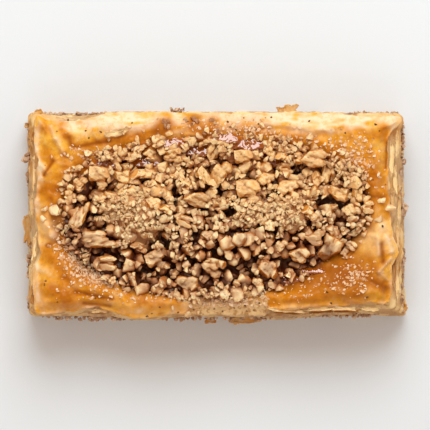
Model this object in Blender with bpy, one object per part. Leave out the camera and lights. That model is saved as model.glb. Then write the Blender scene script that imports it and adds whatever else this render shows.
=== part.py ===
"""A rectangular slice of layered nut pastry, at its real size in metres, +Z up.

From the bottom: a flaky base, a band of chopped-nut filling that shows all
round, a puffed top pastry with a shallow hollow, and a heap of chopped walnuts
in that hollow. The origin is under the middle of the slice, where it rests.
"""

import math
import random

import bmesh
import bpy
from mathutils import Euler, Vector, noise

SLICE_NAME = "walnut_pastry_slice"

# Extents of the layers: left, right, front and back of their outlines.
BASE = (-0.0540, 0.0542, -0.0297, 0.0298)
FILLING = (-0.0532, 0.0535, -0.0290, 0.0291)
TOP_FOOT = (-0.0530, 0.0533, -0.0288, 0.0289)    # lowest sheet of the top pastry
TOP_RIM = (-0.0510, 0.0493, -0.0270, 0.0283)     # rim of its uppermost sheet
CORNER_RADIUS = 0.0021

# Heights of the layers. Each stands a little clear of the one under it.
LAYER_GAP = 0.0003
BASE_TOP = 0.0076
FILLING_TOP = 0.0119
WELL_FLOOR = 0.0205
CREST = 0.0264
EDGE_DROP = 0.0021
EDGE_ROUND = 0.0036

# The hollow in the top: a rounded rectangle that rises smoothly to the crest.
WELL_CENTRE = (0.0012, -0.0010)
WELL_HALF = (0.0455, 0.0236)
WELL_POWER = 2.6
WELL_FLAT = 0.68          # share of its half size that is floor
WELL_LIP = 1.04           # where the crest is reached
RIM_START = 0.86          # where the rim's waves begin

# Waves baked into the rim, and the flaky sheets that show at the sides.
RIM_WAVE = 0.0011
RIM_WAVE_LENGTH = 0.011
RIM_CRINKLE = 0.0004
RIM_CRINKLE_LENGTH = 0.0042
TOP_SHEETS = 5
BASE_SHEETS = 3
BASE_INSET = 0.0009       # the base's flat top ends this far inside its sheets
SHEET_WAVER = 0.0011
SHEET_LIFT = 0.0007
SHEET_WAVE_LENGTH = 0.008
CREASE_DEPTH = 0.0012
LIP_TOP = 0.12            # shares of a sheet's height
LIP_BOTTOM = 0.62
CREASE = 0.90
FILLING_RINGS = 4
FILLING_BUMP = 0.0013
FILLING_BUMP_LENGTH = 0.0017

# Puffs and dents of the top sheet: x, y, spread, height.
PUFFS = (
    (0.0450, -0.0050, 0.0062, 0.0019),    # fold that leans into the hollow
    (0.0482, 0.0060, 0.0040, 0.0006),
    (-0.0465, -0.0205, 0.0052, 0.0010),   # front left corner
    (-0.0420, 0.0215, 0.0045, 0.0009),    # back left corner
    (-0.0330, 0.0235, 0.0040, 0.0007),
    (0.0430, 0.0225, 0.0055, 0.0007),     # back right corner
    (0.0440, -0.0215, 0.0045, 0.0006),    # front right corner
    (0.0080, -0.0262, 0.0120, -0.0014),   # squashed front rim
    (-0.0485, 0.0020, 0.0050, -0.0006),
)

# Flakes of the base that stick out past the rest: x, y, reach, half width.
FLAKES = (
    (0.0209, 0.0298, 0.0023, 0.0027),
    (-0.0540, -0.0049, 0.0012, 0.0046),
    (-0.0014, -0.0297, 0.0021, 0.0026),
    (0.0085, -0.0297, 0.0021, 0.0046),
    (0.0542, 0.0020, 0.0009, 0.0026),
    (0.0542, -0.0258, 0.0012, 0.0030),
)

# The heap of walnuts: a low mound, and pieces fused on at their true size.
HEAP_CENTRE = (0.0006, -0.0009)
HEAP_HALF = (0.0408, 0.0204)
HEAP_POWER = 2.3
HEAP_GAP = 0.0005         # clear of the hollow under it
HEAP_EDGE = 0.0006
BARE_ANGLE = math.radians(-36)    # the front right slope has fewer nuts
BARE_SPREAD = math.radians(30)
BARE_DEPTH = 0.15
MOUND_HEIGHT = 0.0058
MOUND_POWER = 0.62
MOUND_BUMP = 0.0007
MOUND_BUMP_LENGTH = 0.005
HEAP_SEGMENTS = 32
HEAP_RINGS = 10
SMALL_PIECES = 86
SMALL_LENGTH = (0.0038, 0.0060)
PIECE_FLATNESS = 0.64     # height of a piece over its width
PIECE_RISE = 0.18         # how far its middle stands over the mound, in its heights
PIECE_LEAN = 0.35
PIECE_JITTER = 0.17       # unevenness of a piece, as a share of its radius
HEAP_SPREAD = 1.03        # small pieces reach this share of the mound's outline
SPIRAL_TURN = math.pi * (3 - math.sqrt(5))

# The largest pieces of walnut: x, y, length, width, turn in degrees.
LARGE_PIECES = (
    (-0.0333, 0.0108, 0.0082, 0.0070, -30),
    (-0.0272, 0.0109, 0.0052, 0.0036, 0),
    (-0.0216, 0.0116, 0.0066, 0.0040, 25),
    (-0.0390, 0.0090, 0.0048, 0.0040, 0),
    (-0.0391, 0.0002, 0.0088, 0.0044, 66),
    (-0.0336, -0.0070, 0.0104, 0.0052, 0),
    (-0.0313, -0.0138, 0.0060, 0.0044, 0),
    (-0.0128, 0.0172, 0.0066, 0.0046, 10),
    (-0.0010, 0.0178, 0.0056, 0.0042, 60),
    (0.0080, 0.0166, 0.0068, 0.0052, -20),
    (0.0016, 0.0121, 0.0066, 0.0066, 0),
    (-0.0035, 0.0110, 0.0064, 0.0038, -70),
    (0.0094, 0.0072, 0.0080, 0.0066, -20),
    (-0.0053, 0.0046, 0.0076, 0.0046, -20),
    (0.0150, 0.0101, 0.0054, 0.0048, -30),
    (0.0212, 0.0078, 0.0068, 0.0054, -20),
    (0.0281, 0.0164, 0.0076, 0.0054, -10),
    (0.0327, 0.0118, 0.0054, 0.0044, 90),
    (0.0350, 0.0063, 0.0064, 0.0040, -15),
    (0.0266, 0.0006, 0.0054, 0.0050, 0),
    (0.0393, 0.0012, 0.0054, 0.0042, -35),
    (0.0062, -0.0089, 0.0104, 0.0078, 0),
    (-0.0007, -0.0150, 0.0070, 0.0058, -20),
    (-0.0174, -0.0127, 0.0062, 0.0056, 0),
    (-0.0082, -0.0199, 0.0076, 0.0046, 0),
    (0.0330, -0.0098, 0.0082, 0.0060, 62),
    (0.0241, -0.0112, 0.0056, 0.0052, -30),
    (0.0281, -0.0066, 0.0062, 0.0046, 0),
    (0.0151, -0.0159, 0.0060, 0.0052, 0),
    (-0.0088, -0.0017, 0.0052, 0.0034, -20),
)

# Single bits of nut baked onto the rim: x, y, length.
RIM_BITS = (
    (-0.0486, 0.0014, 0.0044),
    (-0.0488, 0.0044, 0.0028),
    (-0.0486, -0.0030, 0.0034),
    (0.0468, 0.0020, 0.0032),
    (0.0478, 0.0042, 0.0030),
    (-0.0143, 0.0262, 0.0032),
    (-0.0059, 0.0262, 0.0030),
    (-0.0007, 0.0255, 0.0028),
    (0.0150, 0.0256, 0.0026),
    (-0.0125, -0.0250, 0.0034),
    (0.0000, -0.0246, 0.0034),
    (-0.0300, -0.0236, 0.0024),
    (0.0330, -0.0240, 0.0024),
)
RIM_BIT_FLATNESS = 0.7


def smooth_step(low, high, value):
    share = min(max((value - low) / (high - low), 0.0), 1.0)
    return share * share * (3.0 - 2.0 * share)


def mix(first, second, share):
    return first + (second - first) * share


def mix_extents(first, second, share, out=0.0):
    """Extents between two outlines, moved out by the given distance."""
    left, right, front, back = (mix(a, b, share) for a, b in zip(first, second))
    return left - out, right + out, front - out, back + out


def place_in_outline(s, t, extents):
    """Plan position for s and t from -1 to 1, in an outline with round corners."""
    left, right, front, back = extents
    half_x, half_y = (right - left) / 2, (back - front) / 2
    x, y = abs(s) * half_x, abs(t) * half_y
    into_x = x - (half_x - CORNER_RADIUS)
    into_y = y - (half_y - CORNER_RADIUS)
    if into_x > 0 and into_y > 0:
        squeeze = max(into_x, into_y) / math.hypot(into_x, into_y)
        x += into_x * (squeeze - 1.0)
        y += into_y * (squeeze - 1.0)
    return (left + right) / 2 + math.copysign(x, s), (front + back) / 2 + math.copysign(y, t)


def ripple(x, y, length, layer):
    return noise.noise(Vector((x / length, y / length, layer * 3.7)))


def well_radius(x, y):
    """0 in the middle of the hollow and 1 at its outline."""
    across = abs(x - WELL_CENTRE[0]) / WELL_HALF[0]
    along = abs(y - WELL_CENTRE[1]) / WELL_HALF[1]
    return (across ** WELL_POWER + along ** WELL_POWER) ** (1.0 / WELL_POWER)


def crust_height(x, y):
    """Height of the top pastry's upper face."""
    left, right, front, back = TOP_RIM
    radius = well_radius(x, y)
    rise = smooth_step(WELL_FLAT, WELL_LIP, radius)
    from_edge = min(x - left, right - x, y - front, back - y)
    drop = EDGE_DROP * (1.0 - smooth_step(0.0, EDGE_ROUND, from_edge))
    waves = RIM_WAVE * ripple(x, y, RIM_WAVE_LENGTH, 1)
    waves += RIM_CRINKLE * ripple(x, y, RIM_CRINKLE_LENGTH, 2)
    puffed = sum(
        height * math.exp(-((x - px) ** 2 + (y - py) ** 2) / spread**2)
        for px, py, spread, height in PUFFS
    )
    rim = smooth_step(RIM_START, WELL_LIP, radius)
    return mix(WELL_FLOOR, CREST, rise) - drop + rim * (waves + puffed)


def flake_reach(x, y):
    return sum(
        reach * math.exp(-((x - fx) ** 2 + (y - fy) ** 2) / half_width**2)
        for fx, fy, reach, half_width in FLAKES
    )


def no_reach(x, y):
    return 0.0


def make_material(name, colour, roughness):
    material = bpy.data.materials.new(name)
    material.use_nodes = True
    shader = material.node_tree.nodes["Principled BSDF"]
    shader.inputs["Base Color"].default_value = (*colour, 1.0)
    shader.inputs["Roughness"].default_value = roughness
    shader.inputs["Metallic"].default_value = 0.0
    material.diffuse_color = (*colour, 1.0)
    return material


def new_sheet(columns, rows):
    """A grid from -1 to 1 that keeps each point's own place in a layer."""
    mesh = bmesh.new()
    bmesh.ops.create_grid(mesh, x_segments=columns, y_segments=rows, size=1.0)
    place = mesh.verts.layers.float_vector.new("place")
    for vert in mesh.verts:
        vert[place] = vert.co.copy()
    return mesh, place


def new_flat_sheet(columns, rows, extents, height):
    """One flat face, with the points of a grid along its outline only."""
    mesh, place = new_sheet(columns, rows)
    bmesh.ops.dissolve_faces(mesh, faces=mesh.faces[:], use_verts=False)
    inner = [vert for vert in mesh.verts if not vert.link_faces]
    bmesh.ops.delete(mesh, geom=inner, context="VERTS")
    for vert in mesh.verts:
        x, y = place_in_outline(vert[place].x, vert[place].y, extents)
        vert.co = Vector((x, y, height))
    return mesh, place


def open_edges(mesh):
    return [edge for edge in mesh.edges if len(edge.link_faces) == 1]


def pull_ring(mesh, place, position):
    """Extrude the open rim, and set each new point to position(s, t)."""
    pulled = bmesh.ops.extrude_edge_only(mesh, edges=open_edges(mesh))
    for vert in pulled["geom"]:
        if isinstance(vert, bmesh.types.BMVert):
            vert.co = position(vert[place].x, vert[place].y)


def close_foot(mesh):
    bmesh.ops.holes_fill(mesh, edges=open_edges(mesh), sides=0)
    bmesh.ops.recalc_face_normals(mesh, faces=mesh.faces[:])


def side_rings(sheets, starts_inside):
    """Each ring down a flaky side: its share of the depth, its sheet and its kind."""
    rings = []
    for sheet in range(sheets):
        if sheet > 0 or starts_inside:
            rings.append(((sheet + LIP_TOP) / sheets, sheet, "lip"))
        if sheet < sheets - 1:
            rings.append(((sheet + LIP_BOTTOM) / sheets, sheet, "lip"))
            rings.append(((sheet + CREASE) / sheets, sheet, "crease"))
    rings.append((1.0, sheets - 1, "foot"))
    return rings


def pull_flaky_sides(mesh, place, rings, upper, lower, upper_height, foot, seed, reach):
    """Stepped edges of pastry sheets, from the cap's rim down to a flat foot."""
    tucked = {"lip": 0.0, "crease": CREASE_DEPTH, "foot": CREASE_DEPTH / 2}
    for share, sheet, kind in rings:
        def position(s, t):
            x, y = place_in_outline(s, t, upper)
            out = SHEET_WAVER * ripple(x, y, SHEET_WAVE_LENGTH, seed + sheet) - tucked[kind]
            height = mix(upper_height(x, y), foot, share)
            if kind != "foot":
                height += SHEET_LIFT * ripple(x, y, SHEET_WAVE_LENGTH, seed + sheet + 20)
            if sheet == 0 and kind == "lip":
                out += reach(x, y)
            return Vector((*place_in_outline(s, t, mix_extents(upper, lower, share, out)), height))

        pull_ring(mesh, place, position)
    close_foot(mesh)


def new_node(name, mesh, material, collection):
    """An object of the mesh, which is freed."""
    data = bpy.data.meshes.new(name)
    mesh.to_mesh(data)
    mesh.free()
    data.materials.append(material)
    node = bpy.data.objects.new(name, data)
    collection.objects.link(node)
    return node


def make_base(material, collection):
    cap = mix_extents(BASE, BASE, 0.0, -BASE_INSET)
    mesh, place = new_flat_sheet(34, 18, cap, BASE_TOP)
    rings = side_rings(BASE_SHEETS, starts_inside=True)
    shoulder = BASE_TOP - SHEET_LIFT
    pull_flaky_sides(mesh, place, rings, BASE, BASE, lambda x, y: shoulder, 0.0, 40, flake_reach)
    return new_node("base_pastry", mesh, material, collection)


def make_filling(material, collection):
    """A flat band with the bumps of chopped nuts round its side."""
    mesh, place = new_flat_sheet(40, 22, FILLING, FILLING_TOP)
    foot = BASE_TOP + LAYER_GAP
    for ring in range(1, FILLING_RINGS + 1):
        height = mix(FILLING_TOP, foot, ring / FILLING_RINGS)

        def position(s, t):
            x, y = place_in_outline(s, t, FILLING)
            out = FILLING_BUMP * ripple(x, y, FILLING_BUMP_LENGTH, 60 + ring)
            return Vector((*place_in_outline(s, t, mix_extents(FILLING, FILLING, 0.0, out)), height))

        pull_ring(mesh, place, position)
    close_foot(mesh)
    return new_node("walnut_filling", mesh, material, collection)


def rough_piece(draw, centre, size, turn):
    """An angular chip of nut: a coarse ball made uneven and turned."""
    piece = bmesh.new()
    bmesh.ops.create_icosphere(piece, subdivisions=1, radius=0.5)
    lean = Euler((draw.uniform(-PIECE_LEAN, PIECE_LEAN), draw.uniform(-PIECE_LEAN, PIECE_LEAN), turn))
    for vert in piece.verts:
        vert.co *= 1.0 + draw.uniform(-PIECE_JITTER, PIECE_JITTER)
        vert.co = Vector(vert.co[axis] * size[axis] for axis in range(3))
        vert.co.rotate(lean)
        vert.co += centre
    return piece


def lift_clear(piece, surface, gap):
    """Raise a piece until it is clear of the surface under it."""
    lift = max(surface(v.co.x, v.co.y) + gap - v.co.z for v in piece.verts)
    if lift > 0:
        bmesh.ops.translate(piece, verts=piece.verts[:], vec=(0, 0, lift))


def heap_outline(angle, share):
    """Plan position in the heap, share 0 in its middle and 1 at its outline."""
    across, along = math.cos(angle), math.sin(angle)
    reach = (abs(across) ** HEAP_POWER + abs(along) ** HEAP_POWER) ** (-1.0 / HEAP_POWER)
    reach *= 1.0 - BARE_DEPTH * math.exp(-(((angle - BARE_ANGLE) / BARE_SPREAD) ** 2))
    reach *= share
    return (HEAP_CENTRE[0] + HEAP_HALF[0] * across * reach, HEAP_CENTRE[1] + HEAP_HALF[1] * along * reach)


def mound_height(x, y):
    """Height of the heap's mound over the hollow."""
    across = abs(x - HEAP_CENTRE[0]) / HEAP_HALF[0]
    along = abs(y - HEAP_CENTRE[1]) / HEAP_HALF[1]
    share = (across**HEAP_POWER + along**HEAP_POWER) ** (1.0 / HEAP_POWER)
    rise = MOUND_HEIGHT * max(1.0 - share * share, 0.0) ** MOUND_POWER
    bumps = MOUND_BUMP * ripple(x, y, MOUND_BUMP_LENGTH, 80) * min(1.0, rise / MOUND_HEIGHT * 2)
    return crust_height(x, y) + HEAP_GAP + HEAP_EDGE + rise + bumps


def make_mound(material, collection):
    mesh = bmesh.new()
    bmesh.ops.create_uvsphere(mesh, u_segments=HEAP_SEGMENTS, v_segments=HEAP_RINGS, radius=1.0)
    for vert in mesh.verts:
        share = min(math.hypot(vert.co.x, vert.co.y), 1.0)
        x, y = heap_outline(math.atan2(vert.co.y, vert.co.x), share)
        if vert.co.z > -0.01:
            vert.co = Vector((x, y, mound_height(x, y)))
        else:
            vert.co = Vector((x, y, crust_height(x, y) + HEAP_GAP))
    bmesh.ops.recalc_face_normals(mesh, faces=mesh.faces[:])
    return new_node("walnut_topping", mesh, material, collection)


def heap_pieces(draw):
    """The large pieces where they lie, then small ones spread by an even spiral."""
    for x, y, length, width, turn in LARGE_PIECES:
        yield x, y, (length, width, width * PIECE_FLATNESS), math.radians(turn)
    for index in range(SMALL_PIECES):
        share = math.sqrt((index + 0.5) / SMALL_PIECES)
        angle = math.remainder(index * SPIRAL_TURN, 2 * math.pi)
        x, y = heap_outline(angle, share * HEAP_SPREAD)
        length = draw.uniform(*SMALL_LENGTH)
        width = length * draw.uniform(0.65, 0.95)
        yield x, y, (length, width, width * PIECE_FLATNESS), draw.uniform(0, math.pi)


def fuse(node, pieces):
    """One Boolean union of the node with a collection of pieces, which then go."""
    union = node.modifiers.new("Fused pieces", "BOOLEAN")
    union.operation = "UNION"
    union.solver = "EXACT"
    union.operand_type = "COLLECTION"
    union.collection = pieces
    bpy.context.view_layer.update()
    graph = bpy.context.evaluated_depsgraph_get()
    joined = bpy.data.meshes.new_from_object(node.evaluated_get(graph))
    node.modifiers.clear()
    old = node.data
    joined.name = node.name
    node.data = joined
    bpy.data.meshes.remove(old)
    for piece in list(pieces.objects):
        bpy.data.objects.remove(piece, do_unlink=True)
    bpy.data.collections.remove(pieces)
    keep_largest_body(node)


def keep_largest_body(node):
    """Drop scraps that the union left loose."""
    mesh = bmesh.new()
    mesh.from_mesh(node.data)
    bmesh.ops.remove_doubles(mesh, verts=mesh.verts[:], dist=1e-6)
    waiting = set(mesh.verts)
    bodies = []
    while waiting:
        front = [waiting.pop()]
        body = set(front)
        while front:
            vert = front.pop()
            for edge in vert.link_edges:
                other = edge.other_vert(vert)
                if other in waiting:
                    waiting.discard(other)
                    body.add(other)
                    front.append(other)
        bodies.append(body)
    bodies.sort(key=len)
    for body in bodies[:-1]:
        bmesh.ops.delete(mesh, geom=list(body), context="VERTS")
    mesh.to_mesh(node.data)
    mesh.free()


def make_topping(material, collection):
    draw = random.Random(11)
    node = make_mound(material, collection)
    pieces = bpy.data.collections.new("Walnut pieces")
    bpy.context.scene.collection.children.link(pieces)
    for index, (x, y, size, turn) in enumerate(heap_pieces(draw)):
        centre = Vector((x, y, mound_height(x, y) + PIECE_RISE * size[2]))
        piece = rough_piece(draw, centre, size, turn)
        lift_clear(piece, crust_height, HEAP_GAP)
        new_node(f"piece_{index}", piece, material, pieces)
    fuse(node, pieces)
    return node


def make_top(material, collection):
    mesh, place = new_sheet(36, 20)
    for vert in mesh.verts:
        x, y = place_in_outline(vert[place].x, vert[place].y, TOP_RIM)
        vert.co = Vector((x, y, crust_height(x, y)))
    rings = side_rings(TOP_SHEETS, starts_inside=False)
    foot = FILLING_TOP + LAYER_GAP
    pull_flaky_sides(mesh, place, rings, TOP_RIM, TOP_FOOT, crust_height, foot, 10, no_reach)
    node = new_node("top_pastry", mesh, material, collection)
    draw = random.Random(5)
    bits = bpy.data.collections.new("Rim bits")
    bpy.context.scene.collection.children.link(bits)
    for index, (x, y, length) in enumerate(RIM_BITS):
        size = (length, length * 0.8, length * RIM_BIT_FLATNESS)
        centre = Vector((x, y, crust_height(x, y) + size[2] * 0.15))
        new_node(f"bit_{index}", rough_piece(draw, centre, size, draw.uniform(0, math.pi)), material, bits)
    fuse(node, bits)
    return node


def centre_over_origin(nodes):
    """Put the middle of the whole outline over the origin."""
    points = [vert.co for node in nodes for vert in node.data.vertices]
    middle = [(min(p[axis] for p in points) + max(p[axis] for p in points)) / 2 for axis in (0, 1)]
    for node in nodes:
        for vert in node.data.vertices:
            vert.co -= Vector((middle[0], middle[1], 0.0))


def shade(node):
    node.data.shade_smooth()
    node.data.set_sharp_from_angle(angle=math.radians(40))


def build():
    for old in list(bpy.data.objects):
        bpy.data.objects.remove(old, do_unlink=True)
    collection = bpy.data.collections.new(SLICE_NAME)
    bpy.context.scene.collection.children.link(collection)
    nodes = [
        make_base(make_material("Base pastry", (0.72, 0.47, 0.22), 0.75), collection),
        make_filling(make_material("Nut filling", (0.33, 0.20, 0.11), 0.9), collection),
        make_top(make_material("Golden crust", (0.74, 0.38, 0.10), 0.42), collection),
        make_topping(make_material("Chopped walnut", (0.72, 0.48, 0.24), 0.7), collection),
    ]
    centre_over_origin(nodes)
    for node in nodes:
        shade(node)


build()
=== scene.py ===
import math
import random
import bpy
import numpy as np
from mathutils import Euler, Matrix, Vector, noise


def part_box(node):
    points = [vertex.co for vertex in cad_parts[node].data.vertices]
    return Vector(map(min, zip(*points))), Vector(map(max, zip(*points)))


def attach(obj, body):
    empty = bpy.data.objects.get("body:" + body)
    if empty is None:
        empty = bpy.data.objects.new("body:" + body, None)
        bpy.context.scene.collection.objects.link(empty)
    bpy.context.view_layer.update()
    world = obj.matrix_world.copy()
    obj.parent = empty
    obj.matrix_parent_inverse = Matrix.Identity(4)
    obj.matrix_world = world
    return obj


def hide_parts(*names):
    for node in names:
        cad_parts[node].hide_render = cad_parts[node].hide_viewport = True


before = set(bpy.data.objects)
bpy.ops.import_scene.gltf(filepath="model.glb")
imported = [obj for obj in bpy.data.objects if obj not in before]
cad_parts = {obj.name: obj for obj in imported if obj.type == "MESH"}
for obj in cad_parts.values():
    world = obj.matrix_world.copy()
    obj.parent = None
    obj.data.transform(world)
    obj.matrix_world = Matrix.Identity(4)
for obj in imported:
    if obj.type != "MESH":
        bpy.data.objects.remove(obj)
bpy.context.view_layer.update()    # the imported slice: its bodies, nodes and record
mm = 0.001
photoMm = 0.982 * mm    # the rim lies nearer the camera than the table, so it shows a little larger
fullTurn = 6.28    # how far a scattered piece may be turned, in radians
cutAngle = 42    # edges of a nut that are sharper than this stay sharp, in degrees
tiny = 1e-9    # keeps a division from failing


def stageDone(words):
    print("[slice] " + words, flush=True)


# ---- outlines and heights that every layer shares ----

def insetBox(node, *inward):    # a layer's outline: its solid's box, moved in by these mm
    low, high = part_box(node)
    left, right, front, back = (value * mm for value in inward)
    return low[0] + left, high[0] - right, low[1] + front, high[1] - back


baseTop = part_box("base_pastry")[1][2]
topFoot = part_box("top_pastry")[0][2]
fillFoot, fillTop = (corner[2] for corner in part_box("walnut_filling"))
heapLow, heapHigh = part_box("walnut_topping")

layers = {
    "corner": 2 * mm,
    "base": insetBox("base_pastry", 1.3, 1.1, 2.1, 2),
    "fill": insetBox("walnut_filling", 0.8, 0.8, 0.7, 0.9),
    "foot": insetBox("top_pastry", 0.2, 0.1, 0.4, 0.5),
    "rim": insetBox("top_pastry", 2.2, 4, 2.2, 1.1),
}

crust = {
    "columns": 300, "rows": 164, "floor": topFoot + 8.3 * mm, "crest": topFoot + 14.2 * mm,
    "edgeDrop": 2.1 * mm, "edgeRound": 3.6 * mm,
    "rolls": ((-0.1, 0.3), (0.05, 0.45), (0.5, 0.35), (1.6, 0.2)),    # steps inward and down in mm
    "wellMiddle": (1.2 * mm, -1 * mm), "wellHalf": (45.5 * mm, 23.6 * mm), "wellPower": 2.6,
    "floorShare": 0.68, "lipShare": 1.04, "waveShare": 0.86,
    "waves": ((1.1 * mm, 11 * mm, 1), (0.4 * mm, 4.2 * mm, 2)),    # size, length, layer
    "waver": ((0.7 * mm, 8 * mm, 3), (0.42 * mm, 2.6 * mm, 33), (0.16 * mm, 0.9 * mm, 34)),
    "blisters": ((0.36 * mm, 2.5 * mm, 4), (0.18 * mm, 1.25 * mm, 24)),
    "crinkles": ((0.16 * mm, 0.8 * mm, 5),), "wrinkle": (0.75 * mm, 5 * mm, 6), "markRise": 2.2 * mm,
    "bare": (-11, -5, 14.3, 14.8, -22.6, -24.6),    # x and y in mm where the glazed sheet is torn off
    "paintedLitFolds": ((44, -6.5, 5), (-47, -4, 3.5)),    # x, y, spread in mm of two puffed folds, painted paler and less soaked as painted light
    "puffs": (    # x, y, spread, height in mm
        (45, -5, 6.2, 1.9), (48.2, 6, 4, 0.6), (-46.5, -20.5, 5.2, 1), (-42, 21.5, 4.5, 0.9),
        (-33, 23.5, 4, 0.7), (43, 22.5, 5.5, 0.7), (44, -21.5, 4.5, 0.6), (8, -26.2, 12, -1.4),
        (-48.5, 2, 5, -0.6)),
    "marks": (    # from x, y to x, y, half width and rise in mm, then how pale and how soaked
        (-49.7, 25.1, -48.3, 24.2, 1.7, 0.1, 0, 0.8), (-47.4, 25.4, -46, 21.9, 0.7, 0.5, 0.9, 0),
        (-46, 21.9, -43.9, 18.2, 0.8, 0.5, 0.9, 0), (-44.5, 25.4, -43.7, 23.3, 1.4, -0.1, 0, 0.8),
        (-42.2, 22.2, -41.4, 20.2, 1.4, -0.2, 0, 0.9), (-48.8, 18.7, -47.7, 15.9, 1.7, -0.1, 0, 0.8),
        (-46.8, 15.6, -49.4, 11.5, 0.6, -0.4, 0, 0.9), (-50, 14.1, -48.8, 12.4, 0.9, 0.5, 0.6, 0),
        (-50.6, 26.8, -51.7, 18.7, 0.7, 0.2, 0.8, 0), (-51.4, 18.7, -50.3, 10.7, 0.6, 0.2, 0.8, 0),
        (-51.4, 10.1, -51.4, 0, 0.7, 0.1, 0.7, 0), (-49.4, 7.2, -46, 5.2, 2.1, 0.2, 0, 0.6),
        (-44.8, 27.7, -30.4, 27.1, 1.4, 0.3, 0.8, 0), (-40.5, 25.1, -31, 24.5, 2.1, 0.2, 0.5, 0),
        (-30.4, 27.4, -16, 28.5, 1.4, 0.2, 0.8, 0), (-40.5, 19.6, -30.4, 21.3, 0.9, -0.2, 0, 0.9),
        (-30.4, 21.6, -18.9, 23.6, 1, 0, 0, 0.5), (-43.7, 17.3, -41.4, 7.2, 1.4, 0, 0.1, 0.5),
        (-49.1, -2.9, -46.3, -5.8, 1.7, 0.4, 0.5, 0), (-48.6, -8.9, -47.7, -8.9, 0.7, -0.3, 0, 0.9),
        (-48.8, -10.7, -45.4, -13.5, 1.7, 0.1, 0, 0.6), (-44.8, -15.3, -43.1, -19.3, 1.4, -0.1, 0, 0.7),
        (-47.7, -21.6, -41.9, -23.6, 2.4, 0.2, 0, 0.8), (-50.3, -15.3, -48.3, -16.4, 0.9, 0.2, 0.7, 0),
        (-43.9, -13.5, -40.2, -19.9, 1.2, 0.5, 0.5, 0), (-40.2, -22.2, -29.8, -24.2, 0.8, -0.4, 0, 0.8),
        (-50, -25.9, -38.5, -26.2, 1.4, 0.2, 0.3, 0.2), (-37.9, -25.4, -30.4, -26.2, 1, -0.2, 0, 0.4),
        (-30.4, -24.5, -7.3, -25.6, 1.7, 0.2, 0.5, 0), (-51.7, -13.5, -51.2, -24.5, 0.7, 0.2, 0.7, 0),
        (48.3, 24.8, 49.1, 21.6, 1.4, -0.1, 0, 1), (38.2, 24.2, 46.3, 22.8, 1.7, 0, 0, 0.6),
        (24.4, 28, 51.7, 27.7, 1.4, 0.3, 0.8, 0), (30.1, 25.6, 37.3, 25.1, 1.7, 0.2, 0.5, 0),
        (46.8, 15.9, 46.3, 12.4, 1.7, 0.5, 0.2, 0.3), (44.5, 8.6, 45.7, 4.3, 1.7, 0.4, 0.2, 0.3),
        (49.4, 21, 49.1, 13.5, 0.6, -0.2, 0, 0.8), (42.2, 5.8, 48.6, 4.9, 1, -0.3, 0, 1),
        (50.9, 27.4, 51.7, 21.6, 1, 0.2, 0.7, 0), (45.7, -3.2, 49.7, -3.7, 1.7, 0.5, 0.5, 0),
        (40.8, -4, 45.1, -6.1, 1, 0.4, 0.9, 0), (41.6, -7.2, 38.8, -8.9, 0.9, 0.3, 0.8, 0),
        (46.5, -6.3, 47.1, -11.2, 0.7, 0.5, 0.8, 0), (49.1, -6.1, 50.9, -10.7, 0.7, 0.4, 0.7, 0),
        (47.7, -8.4, 48.3, -13.5, 1.2, -0.3, 0, 0.9), (43.4, -10.7, 45.7, -14.7, 1.4, 0, 0, 0.8),
        (50.6, -12.4, 46.8, -16.4, 0.5, 0.5, 0.6, 0), (46.8, -16.4, 49.7, -18.7, 0.5, 0.4, 0.5, 0),
        (45.1, -19, 48.8, -21, 1.7, -0.3, 0, 1), (50.3, -19.3, 50.6, -23.9, 0.5, 0.3, 0.8, 0),
        (38.8, -24.8, 49.7, -25.6, 0.7, 0.3, 0.7, 0), (24.4, -21.6, 41.6, -22.2, 2.1, 0.1, 0, 0.4),
        (14.8, -22.2, 14.6, -26.8, 0.4, 0.4, 0.8, 0), (15.1, -27.1, 33, -25.9, 0.6, 0.3, 0.7, 0),
        (16.3, -23.3, 30.1, -23.9, 1.7, 0.1, 0, 0.4), (14.3, 26.5, 33, 24.2, 1, 0.4, 0.8, 0),
        (15.1, 22.5, 24.4, 21.9, 1.2, -0.1, 0, 0.7), (24.4, 21.6, 30.1, 20.7, 1, 0, 0, 0.6),
        (-0.1, 25.1, 11.4, 23.1, 1.7, 0.2, 0.6, 0), (-16, 25.9, -0.1, 24.5, 2.1, 0.1, 0.2, 0.3),
        (-0.1, 28.2, 12.8, 28.5, 1, 0.1, 0.7, 0), (-28.1, 24.5, -16, 26.2, 2, 0.2, 0.8, 0),
        (-13, 27.8, 25, 27.8, 1.8, 0.1, 0.6, 0), (-27.5, -27.7, -5.9, -28.2, 1, 0.1, 0.5, 0)),
    "steeped": (    # x, y, spread in mm and how far the syrup has soaked in
        (-40, -20, 8, 0.2), (37.5, -18, 7.5, 0.7), (-28, 18.4, 4, 0.7), (-37.5, 14.8, 3.6, 0.7),
        (-20.5, 20.4, 3, 0.6), (-41.5, 8, 3, 0.5), (-14.2, 25.8, 1.9, 1), (-6, 26.4, 2, 1),
        (-0.6, 26.4, 1.7, 0.8), (-3.4, 23.4, 2.2, 0.8), (-16.4, 22.8, 2.2, 0.8), (9, 22.6, 2.6, 0.5),
        (42.5, -14, 4, 0.25), (27, -18.8, 5.8, 0.55)),
}
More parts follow.
